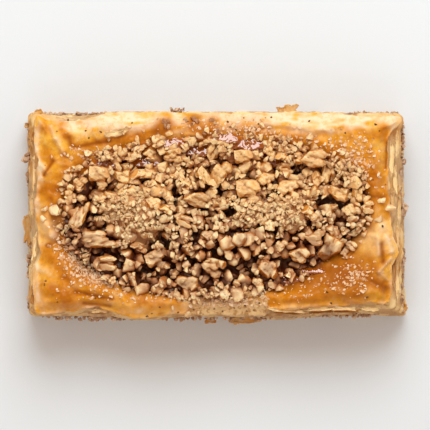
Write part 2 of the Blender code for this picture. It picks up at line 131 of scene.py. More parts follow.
strays = {    # along a side and outward in mm: how the edges stray from their outlines
    "rim": {
        "front": (
            (-52, 1), (-46.8, 0.7), (-39.7, 0.4), (-36.9, -1), (-33.5, -1.3), (-31.3, -0.5), (-29.3, 0.4),
            (-26.4, 1.6), (-22.8, 2), (-18.5, 1.9), (-14.3, 1.3), (-10, 1), (0, 1.3), (6.9, 1.5),
            (13.9, 1.5), (14.8, -0.3), (23.9, -0.4), (29, -1), (32.4, -1.3), (38, -1.7), (43.7, -1.7),
            (47.9, -1.5), (50, -2)),
        "back": (
            (-52, 0.4), (-50, 0.3), (-48, -1.1), (-44, -1.8), (-39.7, -2.2), (-36.9, -1.9), (-34, -0.8),
            (-30.4, 0.2), (-27, 0.6), (-15.7, 0.5), (0, 0.4), (23, 0.6), (35.2, 0.3), (38, -0.4),
            (52, -0.5)),
        "left": (
            (-28, 0.2), (-21.2, 0.4), (-15, 0.5), (-13.3, -0.5), (-10.5, -1.9), (-6.5, -1.3), (-2.5, -0.3),
            (3.4, 0.2), (9.6, -0.3), (15.3, -0.9), (20.9, -0.2), (24.9, 0.3), (28, 0.3)),
        "right": (
            (-28, 0), (-24.6, 0.1), (-21.2, 0.5), (-14.4, 0.3), (-12.2, 1.8), (-10.5, 2.6), (-8.5, 2),
            (-5.9, 0.9), (-2.8, 0.1), (4.2, 0.1), (7, -0.6), (22, -0.6), (24.2, 0.6), (26, 2.8), (28, 3))},
    "foot": {
        "front": (
            (-54, -0.7), (-38, -0.6), (-35.5, 0), (-31.5, -0.1), (-29, -0.4), (-24.5, 0.3), (-14.5, 0.3),
            (-12.5, -0.3), (-4, -0.5), (13, -0.6), (15, 0.4), (23.5, 0.3), (26.5, -0.3), (33, -0.7),
            (52, -0.9)),
        "back": ((-54, -0.2), (-48, -0.5), (-32, -0.5), (-28, -0.2), (30, -0.2), (38, -0.5), (54, -0.4)),
        "left": ((-30, -0.5), (-9, -0.4), (2, -0.2), (10, 0.1), (30, 0)),
        "right": ((-30, 0.4), (-23, 0.4), (-20, 0), (10, 0), (16, -0.2), (30, -0.3))},
}


def mix(first, second, share):
    return first + (second - first) * share


def unit(values):
    return np.clip(values, 0, 1)


def smoothStep(low, high, value):
    share = unit((value - low) / (high - low))
    return share * share * (3 - 2 * share)


def ripple(x, y, length, layer):    # smooth waves from -1 to 1, the same as the solid's
    depth = layer * 3.7
    return np.array([noise.noise((a, b, depth)) for a, b in zip(x / length, y / length)])


def ripples(x, y, rows):    # rows of size, length, layer
    return sum(size * ripple(x, y, length, layer) for size, length, layer in rows)


def mixEdges(first, second, share, out=0):
    left, right, front, back = (mix(a, b, share) for a, b in zip(first, second))
    return left - out, right + out, front - out, back + out


def placeInOutline(s, t, edge):    # s and t run from -1 to 1 across the outline
    left, right, front, back = edge
    halfX, halfY = (right - left) / 2, (back - front) / 2
    x, y = np.abs(s) * halfX, np.abs(t) * halfY
    intoX, intoY = x - (halfX - layers["corner"]), y - (halfY - layers["corner"])
    inCorner = (intoX > 0) & (intoY > 0)
    squeeze = np.where(inCorner, np.maximum(intoX, intoY) / np.maximum(np.hypot(intoX, intoY), tiny) - 1, 0)
    x, y = x + np.where(inCorner, intoX * squeeze, 0), y + np.where(inCorner, intoY * squeeze, 0)
    return (left + right) / 2 + np.sign(s) * x, (front + back) / 2 + np.sign(t) * y


def strayLines(x, y, edge, place="rim"):    # where a layer's edge lies on each side of a point
    left, right, front, back = (np.interp(at, *(np.array(strays[place][side]).T * mm))
                                for side, at in (("left", y), ("right", y), ("front", x), ("back", x)))
    return edge[0] - left, edge[1] + right, edge[2] - front, edge[3] + back


def walkEdge(share, edge, corner, foot=1):    # place and outward direction, anticlockwise from the front left
    left, right, front, back = edge
    wide, deep, arc = right - left - 2 * corner, back - front - 2 * corner, math.pi / 2 * corner
    legs = np.cumsum([0, wide, arc, deep, arc, wide, arc, deep, arc])
    run = (share % 1) * legs[-1]
    leg = np.clip(np.searchsorted(legs, run, side="right") - 1, 0, 7)
    into, side, inArc = run - legs[leg], leg // 2, leg % 2 == 1
    angle = (side - 1) * math.pi / 2 + np.where(inArc, into / corner, 0)
    along = np.array(((1, 0), (0, 1), (-1, 0), (0, -1)))
    starts = np.array(((left, front), (right, front), (right, back), (left, back))) + corner * along
    turns = np.roll(starts, -1, axis=0) - corner * along
    outX, outY = np.cos(angle), np.sin(angle)
    x = np.where(inArc, turns[side, 0] + corner * outX, starts[side, 0] + along[side, 0] * into)
    y = np.where(inArc, turns[side, 1] + corner * outY, starts[side, 1] + along[side, 1] * into)
    lines = [mix(atRim, atFoot, foot) for atRim, atFoot in zip(
        strayLines(x, y, (0, 0, 0, 0)), strayLines(x, y, (0, 0, 0, 0), "foot"))]
    out = outX**2 * np.where(outX < 0, -lines[0], lines[1])
    out += outY**2 * np.where(outY < 0, -lines[2], lines[3])
    return x + out * outX, y + out * outY, outX, outY


def wellRadius(x, y):    # 0 in the middle of the hollow, 1 at its outline
    across = np.abs(x - crust["wellMiddle"][0]) / crust["wellHalf"][0]
    along = np.abs(y - crust["wellMiddle"][1]) / crust["wellHalf"][1]
    power = crust["wellPower"]
    return (across**power + along**power) ** (1 / power)


def bump(x, y, middleX, middleY, spread):
    return np.exp(-((x - middleX) ** 2 + (y - middleY) ** 2) / spread**2)


def nearAny(x, y, places):    # places of x, y and spread in mm
    return unit(sum(bump(x, y, px * mm, py * mm, spread * mm) for px, py, spread in places))


def nearLine(x, y, fromX, fromY, toX, toY, half):    # 1 on a short line, fading to 0 beside it
    dx, dy = toX - fromX, toY - fromY
    along = unit(((x - fromX) * dx + (y - fromY) * dy) / (dx * dx + dy * dy))
    return np.exp(-((x - fromX - along * dx) ** 2 + (y - fromY - along * dy) ** 2) / half**2)


def fromRim(x, y):    # how far in from the top sheet's edge
    left, right, front, back = strayLines(x, y, layers["rim"])
    return np.minimum(np.minimum(x - left, right - x), np.minimum(y - front, back - y))


def bareShare(x, y):    # 1 where the glazed sheet is torn off at the front
    fromLeft, toLeft, fromRight, toRight, fromBack, toBack = (value * mm for value in crust["bare"])
    ragged = 0.5 * mm * ripple(x, y, 1.5 * mm, 44)
    across = smoothStep(fromLeft, toLeft, x + 4 * ragged) * smoothStep(toRight, fromRight, x + 0.5 * ragged)
    return across * smoothStep(fromBack, toBack, y + 2 * ragged)


def rimOnly(x, y):
    return smoothStep(crust["waveShare"], crust["lipShare"], wellRadius(x, y))


def crustHeight(x, y):    # the form of the solid
    rise = smoothStep(crust["floorShare"], crust["lipShare"], wellRadius(x, y))
    drop = crust["edgeDrop"] * (1 - smoothStep(0, crust["edgeRound"], fromRim(x, y)))
    puffed = sum(h * mm * bump(x, y, px * mm, py * mm, s * mm) for px, py, s, h in crust["puffs"])
    lifted = rimOnly(x, y) * (ripples(x, y, crust["waves"]) + puffed)
    return mix(crust["floor"], crust["crest"], rise) - drop + lifted


def crustMarks(x, y, column):    # the sheet's folds and patches: column 5 is rise, 6 pale and 7 soaked
    return sum(mark[column] * nearLine(x, y, *(value * photoMm for value in mark[:5]))
               for mark in crust["marks"] if mark[column])


def wrinkles(x, y):    # sharp little ridges where the thin sheet has buckled
    length, layer = crust["wrinkle"][1:]
    return 0.35 - np.abs(ripples(x, y, ((1, length, layer), (0.35, length * 0.4, layer + 1))))


def crustSurface(x, y):    # the solid's form with the folds, blisters and crinkles that the photo shows
    rim, bare = rimOnly(x, y), bareShare(x, y)
    folds = crustMarks(x, y, 5) * crust["markRise"] + wrinkles(x, y) * crust["wrinkle"][0]
    z = crustHeight(x, y) + rim * folds + ripples(x, y, crust["blisters"]) * (0.35 + 0.65 * rim)
    return z + ripples(x, y, crust["crinkles"]) * (1 + 2 * bare) - 0.5 * mm * bare


def crustAt(x, y):
    return float(crustSurface(np.array([x]), np.array([y]))[0])


# ---- small modelling helpers ----

def onlySelect(piece):
    bpy.ops.object.select_all(action="DESELECT")
    piece.select_set(True)
    bpy.context.view_layer.objects.active = piece


def readPoints(piece):
    points = np.empty(len(piece.data.vertices) * 3, np.float32)
    piece.data.vertices.foreach_get("co", points)
    return points.reshape(-1, 3).astype(float)


def writePoints(piece, x, y, z):
    piece.data.vertices.foreach_set("co", np.column_stack((x, y, z)).astype(np.float32).ravel())
    piece.data.update()


def addGrid(name, columns, rows):    # a flat grid, and where its points lie from -1 to 1
    bpy.ops.object.select_all(action="DESELECT")
    bpy.ops.mesh.primitive_grid_add(x_subdivisions=columns, y_subdivisions=rows, size=2)
    piece = bpy.context.object
    piece.name = piece.data.name = name
    return piece, *readPoints(piece).T[:2]


def setMasks(piece, **masks):    # a value at each point, which the materials read
    for name, values in masks.items():
        layer = piece.data.attributes.get(name) or piece.data.attributes.new(name, "FLOAT", "POINT")
        layer.data.foreach_set("value", np.full(len(layer.data), values, np.float32))


seamGap = 0.002 * mm


def closeSeam(piece, fillEnds=False):
    onlySelect(piece)
    bpy.ops.object.mode_set(mode="EDIT")
    bpy.ops.mesh.select_all(action="SELECT")
    bpy.ops.mesh.remove_doubles(threshold=seamGap)
    if fillEnds:
        bpy.ops.mesh.fill_holes(sides=0)
    finishEdit()


def finishEdit():
    bpy.ops.mesh.select_all(action="SELECT")
    bpy.ops.mesh.normals_make_consistent(inside=False)
    bpy.ops.object.mode_set(mode="OBJECT")


def addModifier(piece, kind, **values):
    modifier = piece.modifiers.new(kind.title(), kind)
    for key, value in values.items():
        setattr(modifier, key, value)
    onlySelect(piece)
    bpy.ops.object.modifier_apply(modifier=modifier.name)


def joinPieces(name, parts):
    onlySelect(parts[0])
    for part in parts:
        part.select_set(True)
    bpy.ops.object.join()
    piece = bpy.context.object
    piece.name = piece.data.name = name
    return piece


def finishPiece(piece, finish, slot, *nodes, sharpest=None):
    piece.data.materials.clear()
    piece.data.materials.append(finishes[finish])
    onlySelect(piece)
    if sharpest:
        bpy.ops.object.shade_smooth_by_angle(angle=math.radians(sharpest))
    else:
        bpy.ops.object.shade_smooth()
    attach(piece, "root")
    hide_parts(*nodes)


# ---- materials ----

def fillInputs(tree, node, inputs):    # each is a value, or another node's output to link
    for key, value in inputs.items():
        if isinstance(value, bpy.types.NodeSocket):
            tree.links.new(value, node.inputs[key])
        else:
            node.inputs[key].default_value = value


def addNode(tree, kind, inputs, **settings):
    node = tree.nodes.new("ShaderNode" + kind)
    for key, value in settings.items():
        setattr(node, key, value)
    fillInputs(tree, node, inputs)
    return node.outputs


def maths(tree, operation, first, second):
    return addNode(tree, "Math", {0: first, 1: second}, operation=operation)["Value"]


def unevenBake(tree, given, place):    # soft uneven baking: a mask
    cloud = addNode(tree, "TexNoise", {**place, "Detail": 4, "Roughness": 0.6})
    limits = {"Value": cloud["Fac"], "From Min": given["Low"], "From Max": given["High"]}
    return addNode(tree, "MapRange", limits, interpolation_type="SMOOTHSTEP")["Result"]


def bakedSpecks(tree, given, place):    # small scattered specks: a mask
    cells = addNode(tree, "TexVoronoi", {**place, "Randomness": 1})
    dot = maths(tree, "LESS_THAN", cells["Distance"], given["Size"])
    chosen = addNode(tree, "SeparateColor", {"Color": cells["Color"]})["Red"]
    return maths(tree, "MULTIPLY", dot, maths(tree, "GREATER_THAN", chosen, given["Rare"]))


def fineGrain(tree, given, place):    # fine relief of baked dough and cut nut, as a height
    cloud = addNode(tree, "TexNoise", {**place, "Detail": 5})
    cells = addNode(tree, "TexVoronoi", place, feature="SMOOTH_F1")
    return maths(tree, "ADD", cloud["Fac"], maths(tree, "MULTIPLY", cells["Distance"], given["Pores"]))


def makeGroup(name, build, output, *inputs):
    tree = bpy.data.node_groups.new(name, "ShaderNodeTree")
    for label in inputs:
        tree.interface.new_socket(name=label, in_out="INPUT", socket_type="NodeSocketFloat")
    tree.interface.new_socket(name=output, in_out="OUTPUT", socket_type="NodeSocketFloat")
    given = tree.nodes.new("NodeGroupInput").outputs
    place = {"Vector": addNode(tree, "TexCoord", {})["Object"], "Scale": given["Scale"]}
    fillInputs(tree, tree.nodes.new("NodeGroupOutput"), {output: build(tree, given, place)})
    return tree


groups = {
    "mottle": makeGroup("unevenBake", unevenBake, "Mask", "Scale", "Low", "High"),
    "specks": makeGroup("bakedSpecks", bakedSpecks, "Mask", "Scale", "Size", "Rare"),
    "grain": makeGroup("fineGrain", fineGrain, "Height", "Scale", "Pores"),
}


def toLinear(hexColour):
    parts = [int(hexColour[at:at + 2], 16) / 255 for at in (0, 2, 4)]
    return [part / 12.92 if part <= 0.04045 else ((part + 0.055) / 1.055) ** 2.4 for part in parts] + [1]


def makeFinish(name, colour, rough, coat=0, coatRough=0.1, scatter=0, specular=0.5, glint=(1, 0.76, 0.5, 1),
               tints=(), reliefs=(), roughBy=None, coatBy=None):
    material = bpy.data.materials.new(name)
    material.use_nodes = True
    tree = material.node_tree

    def mask(kind, *values):    # a piece's own mask, or a group with its inputs in order
        if kind not in groups:
            return addNode(tree, "Attribute", {}, attribute_name=kind)["Fac"]
        return addNode(tree, "Group", dict(enumerate(values)), node_tree=groups[kind])[0]

    found = addNode(tree, "RGB", {})[0]
    found.default_value = toLinear(colour)
    for over, most, *through in tints:    # lay a colour over the last one where its masks are high
        share = most
        for what in through:
            share = maths(tree, "MULTIPLY", mask(*what) if isinstance(what, tuple) else mask(what), share)
        inputs = {"Factor": share, "A": found, "B": toLinear(over)}
        found = addNode(tree, "Mix", inputs, data_type="RGBA")["Result"]
    inputs = {"Base Color": found, "Roughness": rough, "Coat Weight": coat, "Coat Roughness": coatRough,
              "Subsurface Weight": scatter, "Subsurface Radius": (1, 0.5, 0.2), "Subsurface Scale": 1 * mm,
              "Specular IOR Level": specular, "Specular Tint": glint}
    for scale, pores, strength, distance in reliefs:
        relief = {"Strength": strength, "Distance": distance * mm, "Height": mask("grain", scale, pores)}
        if "Normal" in inputs:
            relief["Normal"] = inputs["Normal"]
        inputs["Normal"] = addNode(tree, "Bump", relief)["Normal"]
    if roughBy:
        label, low, high = roughBy
        limits = {"Value": mask(label), "To Min": low, "To Max": high}
        inputs["Roughness"] = addNode(tree, "MapRange", limits)["Result"]
    if coatBy:
        inputs["Coat Weight"] = mask(coatBy)
    fillInputs(tree, tree.nodes["Principled BSDF"], inputs)
    return material


looks = {    # tints: colour, share, masks or groups with their inputs; reliefs: scale, pores, strength, mm
    "goldenCrust": {
        "colour": "F4AA28", "rough": 0.5, "scatter": 0.1, "specular": 0.25, "roughBy": ("soak", 0.55, 0.36),
        "tints": (
            ("F8BC48", 0.6, ("mottle", 130, 0.42, 0.62)), ("DC8A10", 0.5, ("mottle", 330, 0.5, 0.66)),
            ("FFD27A", 0.35, ("mottle", 900, 0.5, 0.62)), ("CC780C", 0.4, ("mottle", 620, 0.52, 0.64)),
            # pale: pale bake, with painted light on the back band and the lit folds
            ("FFE0BA", 0.9, "pale"), ("F0BC70", 0.55, "pale", ("mottle", 620, 0.5, 0.6)),
            ("D07804", 0.85, "soak"), ("B05A00", 0.65, "soak", ("mottle", 190, 0.46, 0.64)),
            # crease: painted shade in the sunken folds
            ("8E4404", 0.75, "crease"), ("EEC892", 0.85, "bare"),
            ("AE7434", 0.7, "bare", ("mottle", 800, 0.48, 0.58)), ("6A2A06", 0.85, "deep"),
            ("94481A", 0.75, "steeped"), ("6A3A12", 0.8, "rim", ("specks", 560, 0.16, 0.9))),
        "reliefs": ((260, 0.3, 0.35, 0.25), (620, 0.6, 0.4, 0.12))},
    "pastrySheets": {
        "colour": "FCD89C", "rough": 0.42, "coat": 0.1, "coatRough": 0.2, "scatter": 0.1, "specular": 0.35,
        "tints": (
            # tone: random tone, with painted shade that browns the sheets set back
            ("BE7A2A", 0.9, "tone"), ("FFE8C0", 0.35, ("mottle", 420, 0.5, 0.7)),
            ("A05C20", 0.55, "edge", ("mottle", 200, 0.46, 0.56)), ("BC9A7C", 0.6, "shade"),
            ("E29A36", 0.75, "golden")),
        "reliefs": ((900, 0.4, 0.4, 0.1),)},
    "pastryInside": {
        "colour": "BE8438", "rough": 0.75, "specular": 0.3,
        "tints": (("8A5218", 0.7, ("mottle", 300, 0.45, 0.6)),), "reliefs": ((800, 0.8, 0.6, 0.2),)},
    "groundNutFilling": {
        "colour": "B88C68", "rough": 0.7, "specular": 0.3,
        "tints": (("EECDAC", 0.85, "tone"), ("845A3C", 0.4, ("mottle", 600, 0.5, 0.62))),
        "reliefs": ((1400, 0.8, 0.6, 0.15),)},
    "choppedWalnut": {
        "colour": "E29434", "rough": 0.5, "coat": 0.08, "coatRough": 0.2, "scatter": 0.2, "specular": 0.4,
        "tints": (
            # top: painted light on faces turned up
            ("C0660A", 0.85, "tone"), ("FFE6B2", 0.92, "top"), ("EAA44C", 0.6, "tone", "top"),
            ("FFEECA", 0.5, "top", ("mottle", 420, 0.5, 0.68)), ("C87420", 0.5, ("mottle", 260, 0.54, 0.7)),
            ("F8B24E", 0.38, "amber"), ("9E5620", 0.8, "skin"),
            # side: painted shade on the flanks
            ("6A3814", 0.5, "skin", ("mottle", 900, 0.5, 0.6)), ("A64E0A", 0.72, "side"),
            # crease: painted shade in the creases
            ("FFEABC", 0.45, "ridge"), ("843A04", 0.75, "crease"), ("AE5206", 0.68, "damp"),
            # the two stain masks: syrup soak and browning, with painted shade in the gaps
            ("4A1202", 0.95, "wet")),
        "reliefs": ((1100, 0.5, 0.12, 0.12),), "roughBy": ("tone", 0.52, 0.3)},
    "amberSyrup": {
        "colour": "C8700E", "rough": 0.09, "coatRough": 0.03, "specular": 0.7, "glint": (1, 0.8, 0.7, 1),
        "coatBy": "glossy", "roughBy": ("deep", 0.05, 0.1),
        "tints": (("883A08", 1, "depth"), ("501604", 1, "deep"))},
    "paleCrumbs": {
        "colour": "F8DAB6", "rough": 0.5, "coat": 0.2, "coatRough": 0.2,
        "tints": (("DC9C5E", 0.9, "tone"), ("4E2A10", 1, "wet"))},
    "paleFloor": {"colour": "E7EAEC", "rough": 0.9},
}
finishes = {name: makeFinish(name, **look) for name, look in looks.items()}
stageDone("materials mixed")


# ---- where the nuts lie, which the crust and the syrup follow too ----

heap = {
    "middle": (0.6 * mm, -0.9 * mm), "half": (44 * mm, 22.4 * mm), "power": 2.3,
    "bareAngle": math.radians(-36), "bareSpread": math.radians(30), "bareDepth": 0.17,
    "cell": 0.25 * mm, "margin": 6 * mm, "gapBlur": 6, "bedDepth": 1.3 * mm,
    "coreRise": 1.4 * mm, "coreDoming": 0.6, "coreThick": 0.8 * mm, "coreColumns": 250, "coreRows": 136,
    "rise": 6.2 * mm, "doming": 0.55, "spare": 0.8 * mm, "ceiling": heapHigh[2], "seed": 41,
    "narrow": (0.62, 0.95), "flatness": 0.68, "landmarkFlatness": 0.66, "restsAt": 0.62, "plainShare": 0.45,
    "floorCount": 900, "floorSize": (1.6 * mm, 3 * mm), "mediumCount": 1100, "mediumSize": (2.8 * mm, 5 * mm),
    "smallCount": 2600, "smallSize": (1.4 * mm, 3 * mm), "mealCount": 1900, "mealSize": (0.8 * mm, 2.1 * mm),
    "gapLength": 3 * mm, "gapFrom": 0.26, "sink": 0.42, "poolDraw": 0.97, "poolFrom": 0.42, "inZones": 0.72,
}


def heapShare(x, y):    # 0 in the middle of the heap, 1 at its outline
    across, along = (x - heap["middle"][0]) / heap["half"][0], (y - heap["middle"][1]) / heap["half"][1]
    power = heap["power"]
    share = (np.abs(across) ** power + np.abs(along) ** power) ** (1 / power)
    turned = (np.arctan2(along, across) - heap["bareAngle"]) / heap["bareSpread"]
    return share / (1 - heap["bareDepth"] * np.exp(-(turned**2)))


def insideHeap(s, t, reachAt):    # a square grid drawn in to the heap's rounded outline
    (middleX, middleY), (halfX, halfY) = heap["middle"], heap["half"]
    share = heapShare(middleX + s * halfX, middleY + t * halfY)
    inward = np.maximum(np.abs(s), np.abs(t)) / np.maximum(share, 1e-6)
    inward = inward * reachAt(t * inward)
    return middleX + s * inward * halfX, middleY + t * inward * halfY


# ---- the golden top sheet ----

crumbs = {
    "size": (0.32 * mm, 1.15 * mm), "seed": 51, "fromHeap": 0.93, "widest": 20,    # wider zones are even
    "zones": (    # x, y, spread across, spread along in mm, count
        (-43.4, -8.1, 1.9, 2.6, 110), (-39.6, -12.4, 2.4, 2.4, 260), (-35.6, -15.9, 2.8, 2, 280),
        (-31.4, -18.3, 2.8, 1.6, 170), (-36, -22, 5, 1.6, 36), (-44.2, 2.9, 1.8, 4, 24),
        (-42.2, 13, 2.4, 3.4, 16), (-34.7, 17.2, 5, 1.4, 60), (39.2, 18.4, 3.8, 2.6, 120),
        (41.2, 13.6, 2.6, 3.2, 100), (34.4, 17.4, 3.6, 2.4, 70), (45.1, 8.6, 2.6, 2.6, 20),
        (39.3, -17.3, 3.4, 2.6, 120), (33, -20.4, 5, 1.8, 40), (24.4, -22.2, 6, 1.4, 30),
        (21.5, 20.6, 6, 1.4, 60), (-4.5, -22.6, 12, 1.4, 230), (4, -25, 6.5, 1.6, 260), (3, -26.8, 7, 1, 70),
        (-2, 25.4, 12, 1.4, 70), (9, 24.4, 5.5, 1.7, 150), (0, 0, 46, 26, 90)),
    "specks": (    # x, y of the dark burnt specks
        (-37.3, 24.2), (-36.5, 22.2), (-33, 23.9), (-42.5, 27.4), (-48.8, -19), (48, -3.2), (32.1, -22.2),
        (43.7, -23.6), (33.3, -25.4), (-19.7, -29.1), (-16, -26.5), (-10.8, -28), (37.3, 23.6), (-1.4, 27.6),
        (3.5, 26.8), (5.8, 24.5), (8.1, 27.9), (12.4, 26.2), (10.1, 22.8), (2, 23), (-24, 26.5), (8.5, -26),
        (11, -27.4), (2, -27.8), (-3, -26), (27, 27), (16, 28), (46, 26), (5.4, -26.8), (-6.4, -27.2),
        (12.6, -25.4), (-0.4, -27), (6.4, 23.4), (11.6, 24.6), (4.2, 25.4)),
    "rimNuts": (    # x, y, length, width in mm, tone, skin: bits of nut away from the heap
        (-49.2, 2, 2.2, 1.9, 0.1, 0), (-46.4, 1.4, 3.3, 3, 0, 0), (-49.5, -1.2, 2.6, 1.8, 0, 0),
        (50.3, 2, 3.5, 2.7, 0.1, 0), (47.7, 4.3, 2.2, 2, 0, 0), (46.9, -1.3, 2.7, 2.2, 0.4, 0.3),
        (-14.9, 26.9, 1.9, 1.5, 1.5, 1), (-13.6, 26.7, 1.7, 1.3, 1.4, 1), (-14.4, 25.6, 1.5, 1.2, 1.5, 1),
        (-13.3, 25.5, 1.3, 1.1, 1.2, 0.9), (-6.4, 27.6, 1.8, 1.4, 1.6, 1), (-5.4, 26.8, 1.9, 1.3, 1.5, 1),
        (-6.6, 26.2, 1.2, 1, 1.4, 1), (-8.9, 27.7, 1.5, 1.2, 1.2, 0.6), (-8.2, 26.9, 1.1, 0.9, 1.3, 0.8),
        (-1, 27.2, 1.6, 1.3, 1.4, 0.8), (-0.2, 26.3, 1.4, 1.1, 1.3, 0.7), (13.4, 25.9, 2, 1.6, 0.7, 0.3),
        (-16.4, 23.2, 1.4, 1.1, 1.4, 0.9), (-3.4, 23.6, 1.5, 1.2, 1.3, 0.8), (0.8, 24.4, 1.3, 1, 1.3, 0.8),
        (27.2, 22.4, 2.6, 2.2, 0.8, 0.3), (-2.6, 24.6, 1.8, 1.4, 0.6, 0.4), (5, 25.8, 1.6, 1.3, 0.6, 0.4),
        (-36.6, 17.8, 2.6, 2, 0.1, 0), (-20.6, 19.8, 1.6, 1.3, 0.2, 0), (38.2, 14.8, 1.8, 1.6, 0.1, 0),
        (-42.6, 17.2, 1.2, 1, 0.1, 0), (-35.5, -14.5, 1.5, 1.2, 0.1, 0), (-6.4, -24.2, 1.8, 1.5, 0.2, 0.1),
        (-24.6, 25.3, 1.1, 1, 0.8, 0.4), (44.6, 10.4, 1.1, 1, 0.1, 0)),
}


def makeCrust():
    piece, s, t = addGrid("topCrust", crust["columns"], crust["rows"])
    x, y = placeInOutline(s, t, layers["rim"])
    left, right, front, back = layers["rim"]
    toLeft, toRight, toFront, toBack = strayLines(x, y, layers["rim"])
    out = ripples(x, y, crust["waver"])
    x = x + np.where(s < 0, toLeft - left - out, toRight - right + out) * np.abs(s) ** 8
    y = y + np.where(t < 0, toFront - front - out, toBack - back + out) * np.abs(t) ** 8
    writePoints(piece, x, y, crustSurface(x, y))
    onlySelect(piece)
    bpy.ops.object.mode_set(mode="EDIT")
    bpy.ops.mesh.select_all(action="DESELECT")
    bpy.ops.mesh.select_non_manifold(extend=False, use_wire=False, use_multi_face=False, use_verts=False)
    halfX, halfY = (right - left) / 2, (back - front) / 2
    for inward, down in crust["rolls"]:    # roll the sheet's edge under
        bpy.ops.mesh.extrude_edges_move(TRANSFORM_OT_translate={"value": (0, 0, -down * mm)})
        bpy.ops.transform.resize(value=(1 - inward * mm / halfX, 1 - inward * mm / halfY, 1),
                                 center_override=((left + right) / 2, (front + back) / 2, 0))
    bpy.ops.mesh.extrude_edges_move(TRANSFORM_OT_translate={"value": (0, 0, 0)})
    bpy.ops.transform.resize(value=(1, 1, 0), center_override=(0, 0, crust["floor"] - 1.2 * mm))
    bpy.ops.mesh.edge_face_add()
    finishEdit()
    paintCrust(piece)
    finishPiece(piece, "goldenCrust", "golden_crust", "top_pastry")


def paintCrust(piece):
    x, y, z = readPoints(piece).T
    rim, share = smoothStep(0.9, 1.04, wellRadius(x, y)), heapShare(x, y)
    uneven, fine = ripple(x, y, 6 * mm, 30), ripple(x, y, 2.2 * mm, 31)
    steeped = sum(most * bump(x, y, px * mm, py * mm, spread * mm)
                  for px, py, spread, most in crust["steeped"])
    # painted light: the two puffed folds are painted paler and less soaked
    paintedLitFolds = nearAny(x, y, crust["paintedLitFolds"])
    near = smoothStep(1.28, 1.02, share + 0.12 * uneven + 0.08 * fine)
    near *= 0.85 - 0.45 * smoothStep(10 * mm, 18 * mm, y)
    crumbed = sum(np.exp(-((x / mm - px) / across / 1.6) ** 2 - ((y / mm - py) / along / 1.6) ** 2)
                  for px, py, across, along, count in crumbs["zones"] if count > 60 and across < 6)
    marked = 1.2 * np.clip(crustMarks(x, y, 7), 0, 1.2) * rim
    soak = near + 0.45 * unit(crumbed) + marked * (0.85 + 0.3 * fine) + 0.25 * uneven * rim
    # the front rim, turned from the light, gets more soak as painted shade
    soak += 0.15 * smoothStep(-18 * mm, -26 * mm, y) * rim + steeped - 0.7 * paintedLitFolds
    # dents: the sunken folds, painted darker as painted shade
    dents = sum(nearLine(x, y, *(value * photoMm for value in (*mark[:4], mark[4] * 0.55)))
                for mark in crust["marks"] if mark[5] < -0.15)
    edge = smoothStep(0.5 * mm, 0.1 * mm, fromRim(x, y) + 0.2 * mm * uneven)
    pale = np.maximum(edge * 0.55, crustMarks(x, y, 6) * rim) + 0.25 * fine * rim
    pale += 0.35 * smoothStep(0.22, 0.35, wrinkles(x, y)) * rim
    pale *= 0.7 + ripple(x, y, 3.4 * mm, 32) + 0.5 * ripple(x, y, 1.4 * mm, 35)
    streaks = ripple(x / 3, y, 1.1 * mm, 36) + 0.7 * ripple(x / 2, y, 3 * mm, 37)
    inner = smoothStep(47 * mm, 42 * mm, np.abs(x))
    # the back band is painted paler in streaks: pale bake together with painted light from the back
    pale += smoothStep(21.5 * mm, 25.5 * mm, y) * inner * (0.3 + 1.3 * streaks) + 0.35 * paintedLitFolds
    setMasks(
        piece, rim=rim, bare=bareShare(x, y), soak=unit(soak), crease=unit(dents),
        deep=unit(smoothStep(1.1, 0.96, share + 0.05 * uneven + 0.05 * fine) + 0.15 * steeped),
        steeped=unit(mix(0.9, 0.45, smoothStep(-5 * mm, 5 * mm, y)) * steeped * (1 + 0.4 * fine)),
        pale=unit(pale) * (1 - 0.9 * unit(steeped)))


# ---- flaky sheets at the sides ----

topSheets = {
    "count": 14, "around": 700, "across": 4, "depth": 3.6 * mm, "thick": 0.3 * mm,
    "waver": ((0.5 * mm, 14 * mm), (0.7 * mm, 5 * mm), (0.4 * mm, 2.2 * mm), (0.2 * mm, 0.9 * mm)),
    "spread": 1 * mm, "back": 0.25 * mm, "most": 0.55 * mm, "tearLength": 9 * mm, "tearDepth": 0.9 * mm,
    "lift": 0.5 * mm, "liftLength": 6 * mm, "layer": 100,
}
baseSheets = {
    "count": 7, "around": 700, "across": 4, "depth": 3 * mm, "thick": 0.3 * mm,
    "waver": ((0.28 * mm, 12 * mm), (0.26 * mm, 5 * mm), (0.24 * mm, 2.2 * mm), (0.12 * mm, 1 * mm)),
    "spread": 0.25 * mm, "back": 0.1 * mm, "most": 0.5 * mm, "tearLength": 8 * mm, "tearDepth": 0.6 * mm,
    "lift": 0.22 * mm, "liftLength": 5 * mm, "layer": 200,
}
sides = {    # x, y, spread in mm: where the sheets are thin and clear, golden, baked brown and palest
    "grey": (
        (-53, -6, 4), (-53, 8, 3.5), (-34, -28, 3.5), (21, -28.5, 4), (32, -28, 5), (53.5, 2, 4),
        (53.5, 11, 3)),
    "golden": (
        (-52, 24, 5), (-53, 15.5, 3.5), (-50, 28.5, 4), (52, 25, 5), (52, -10, 4), (50, 29, 5),
        (-52.5, -22, 4), (51, 8, 3)),
    "brown": (
        (-52.5, 22.5, 4), (-52, -23.5, 3), (51, -16, 3), (16.5, -27.5, 2.6), (28.5, -27.5, 2.4),
        (51.5, 6, 3)),
    "cream": (
        (52.5, 21, 5), (52.5, 13, 4), (53.5, 8, 4), (-53, -2, 3), (40, -28, 4), (-41, 28.5, 5)),
}


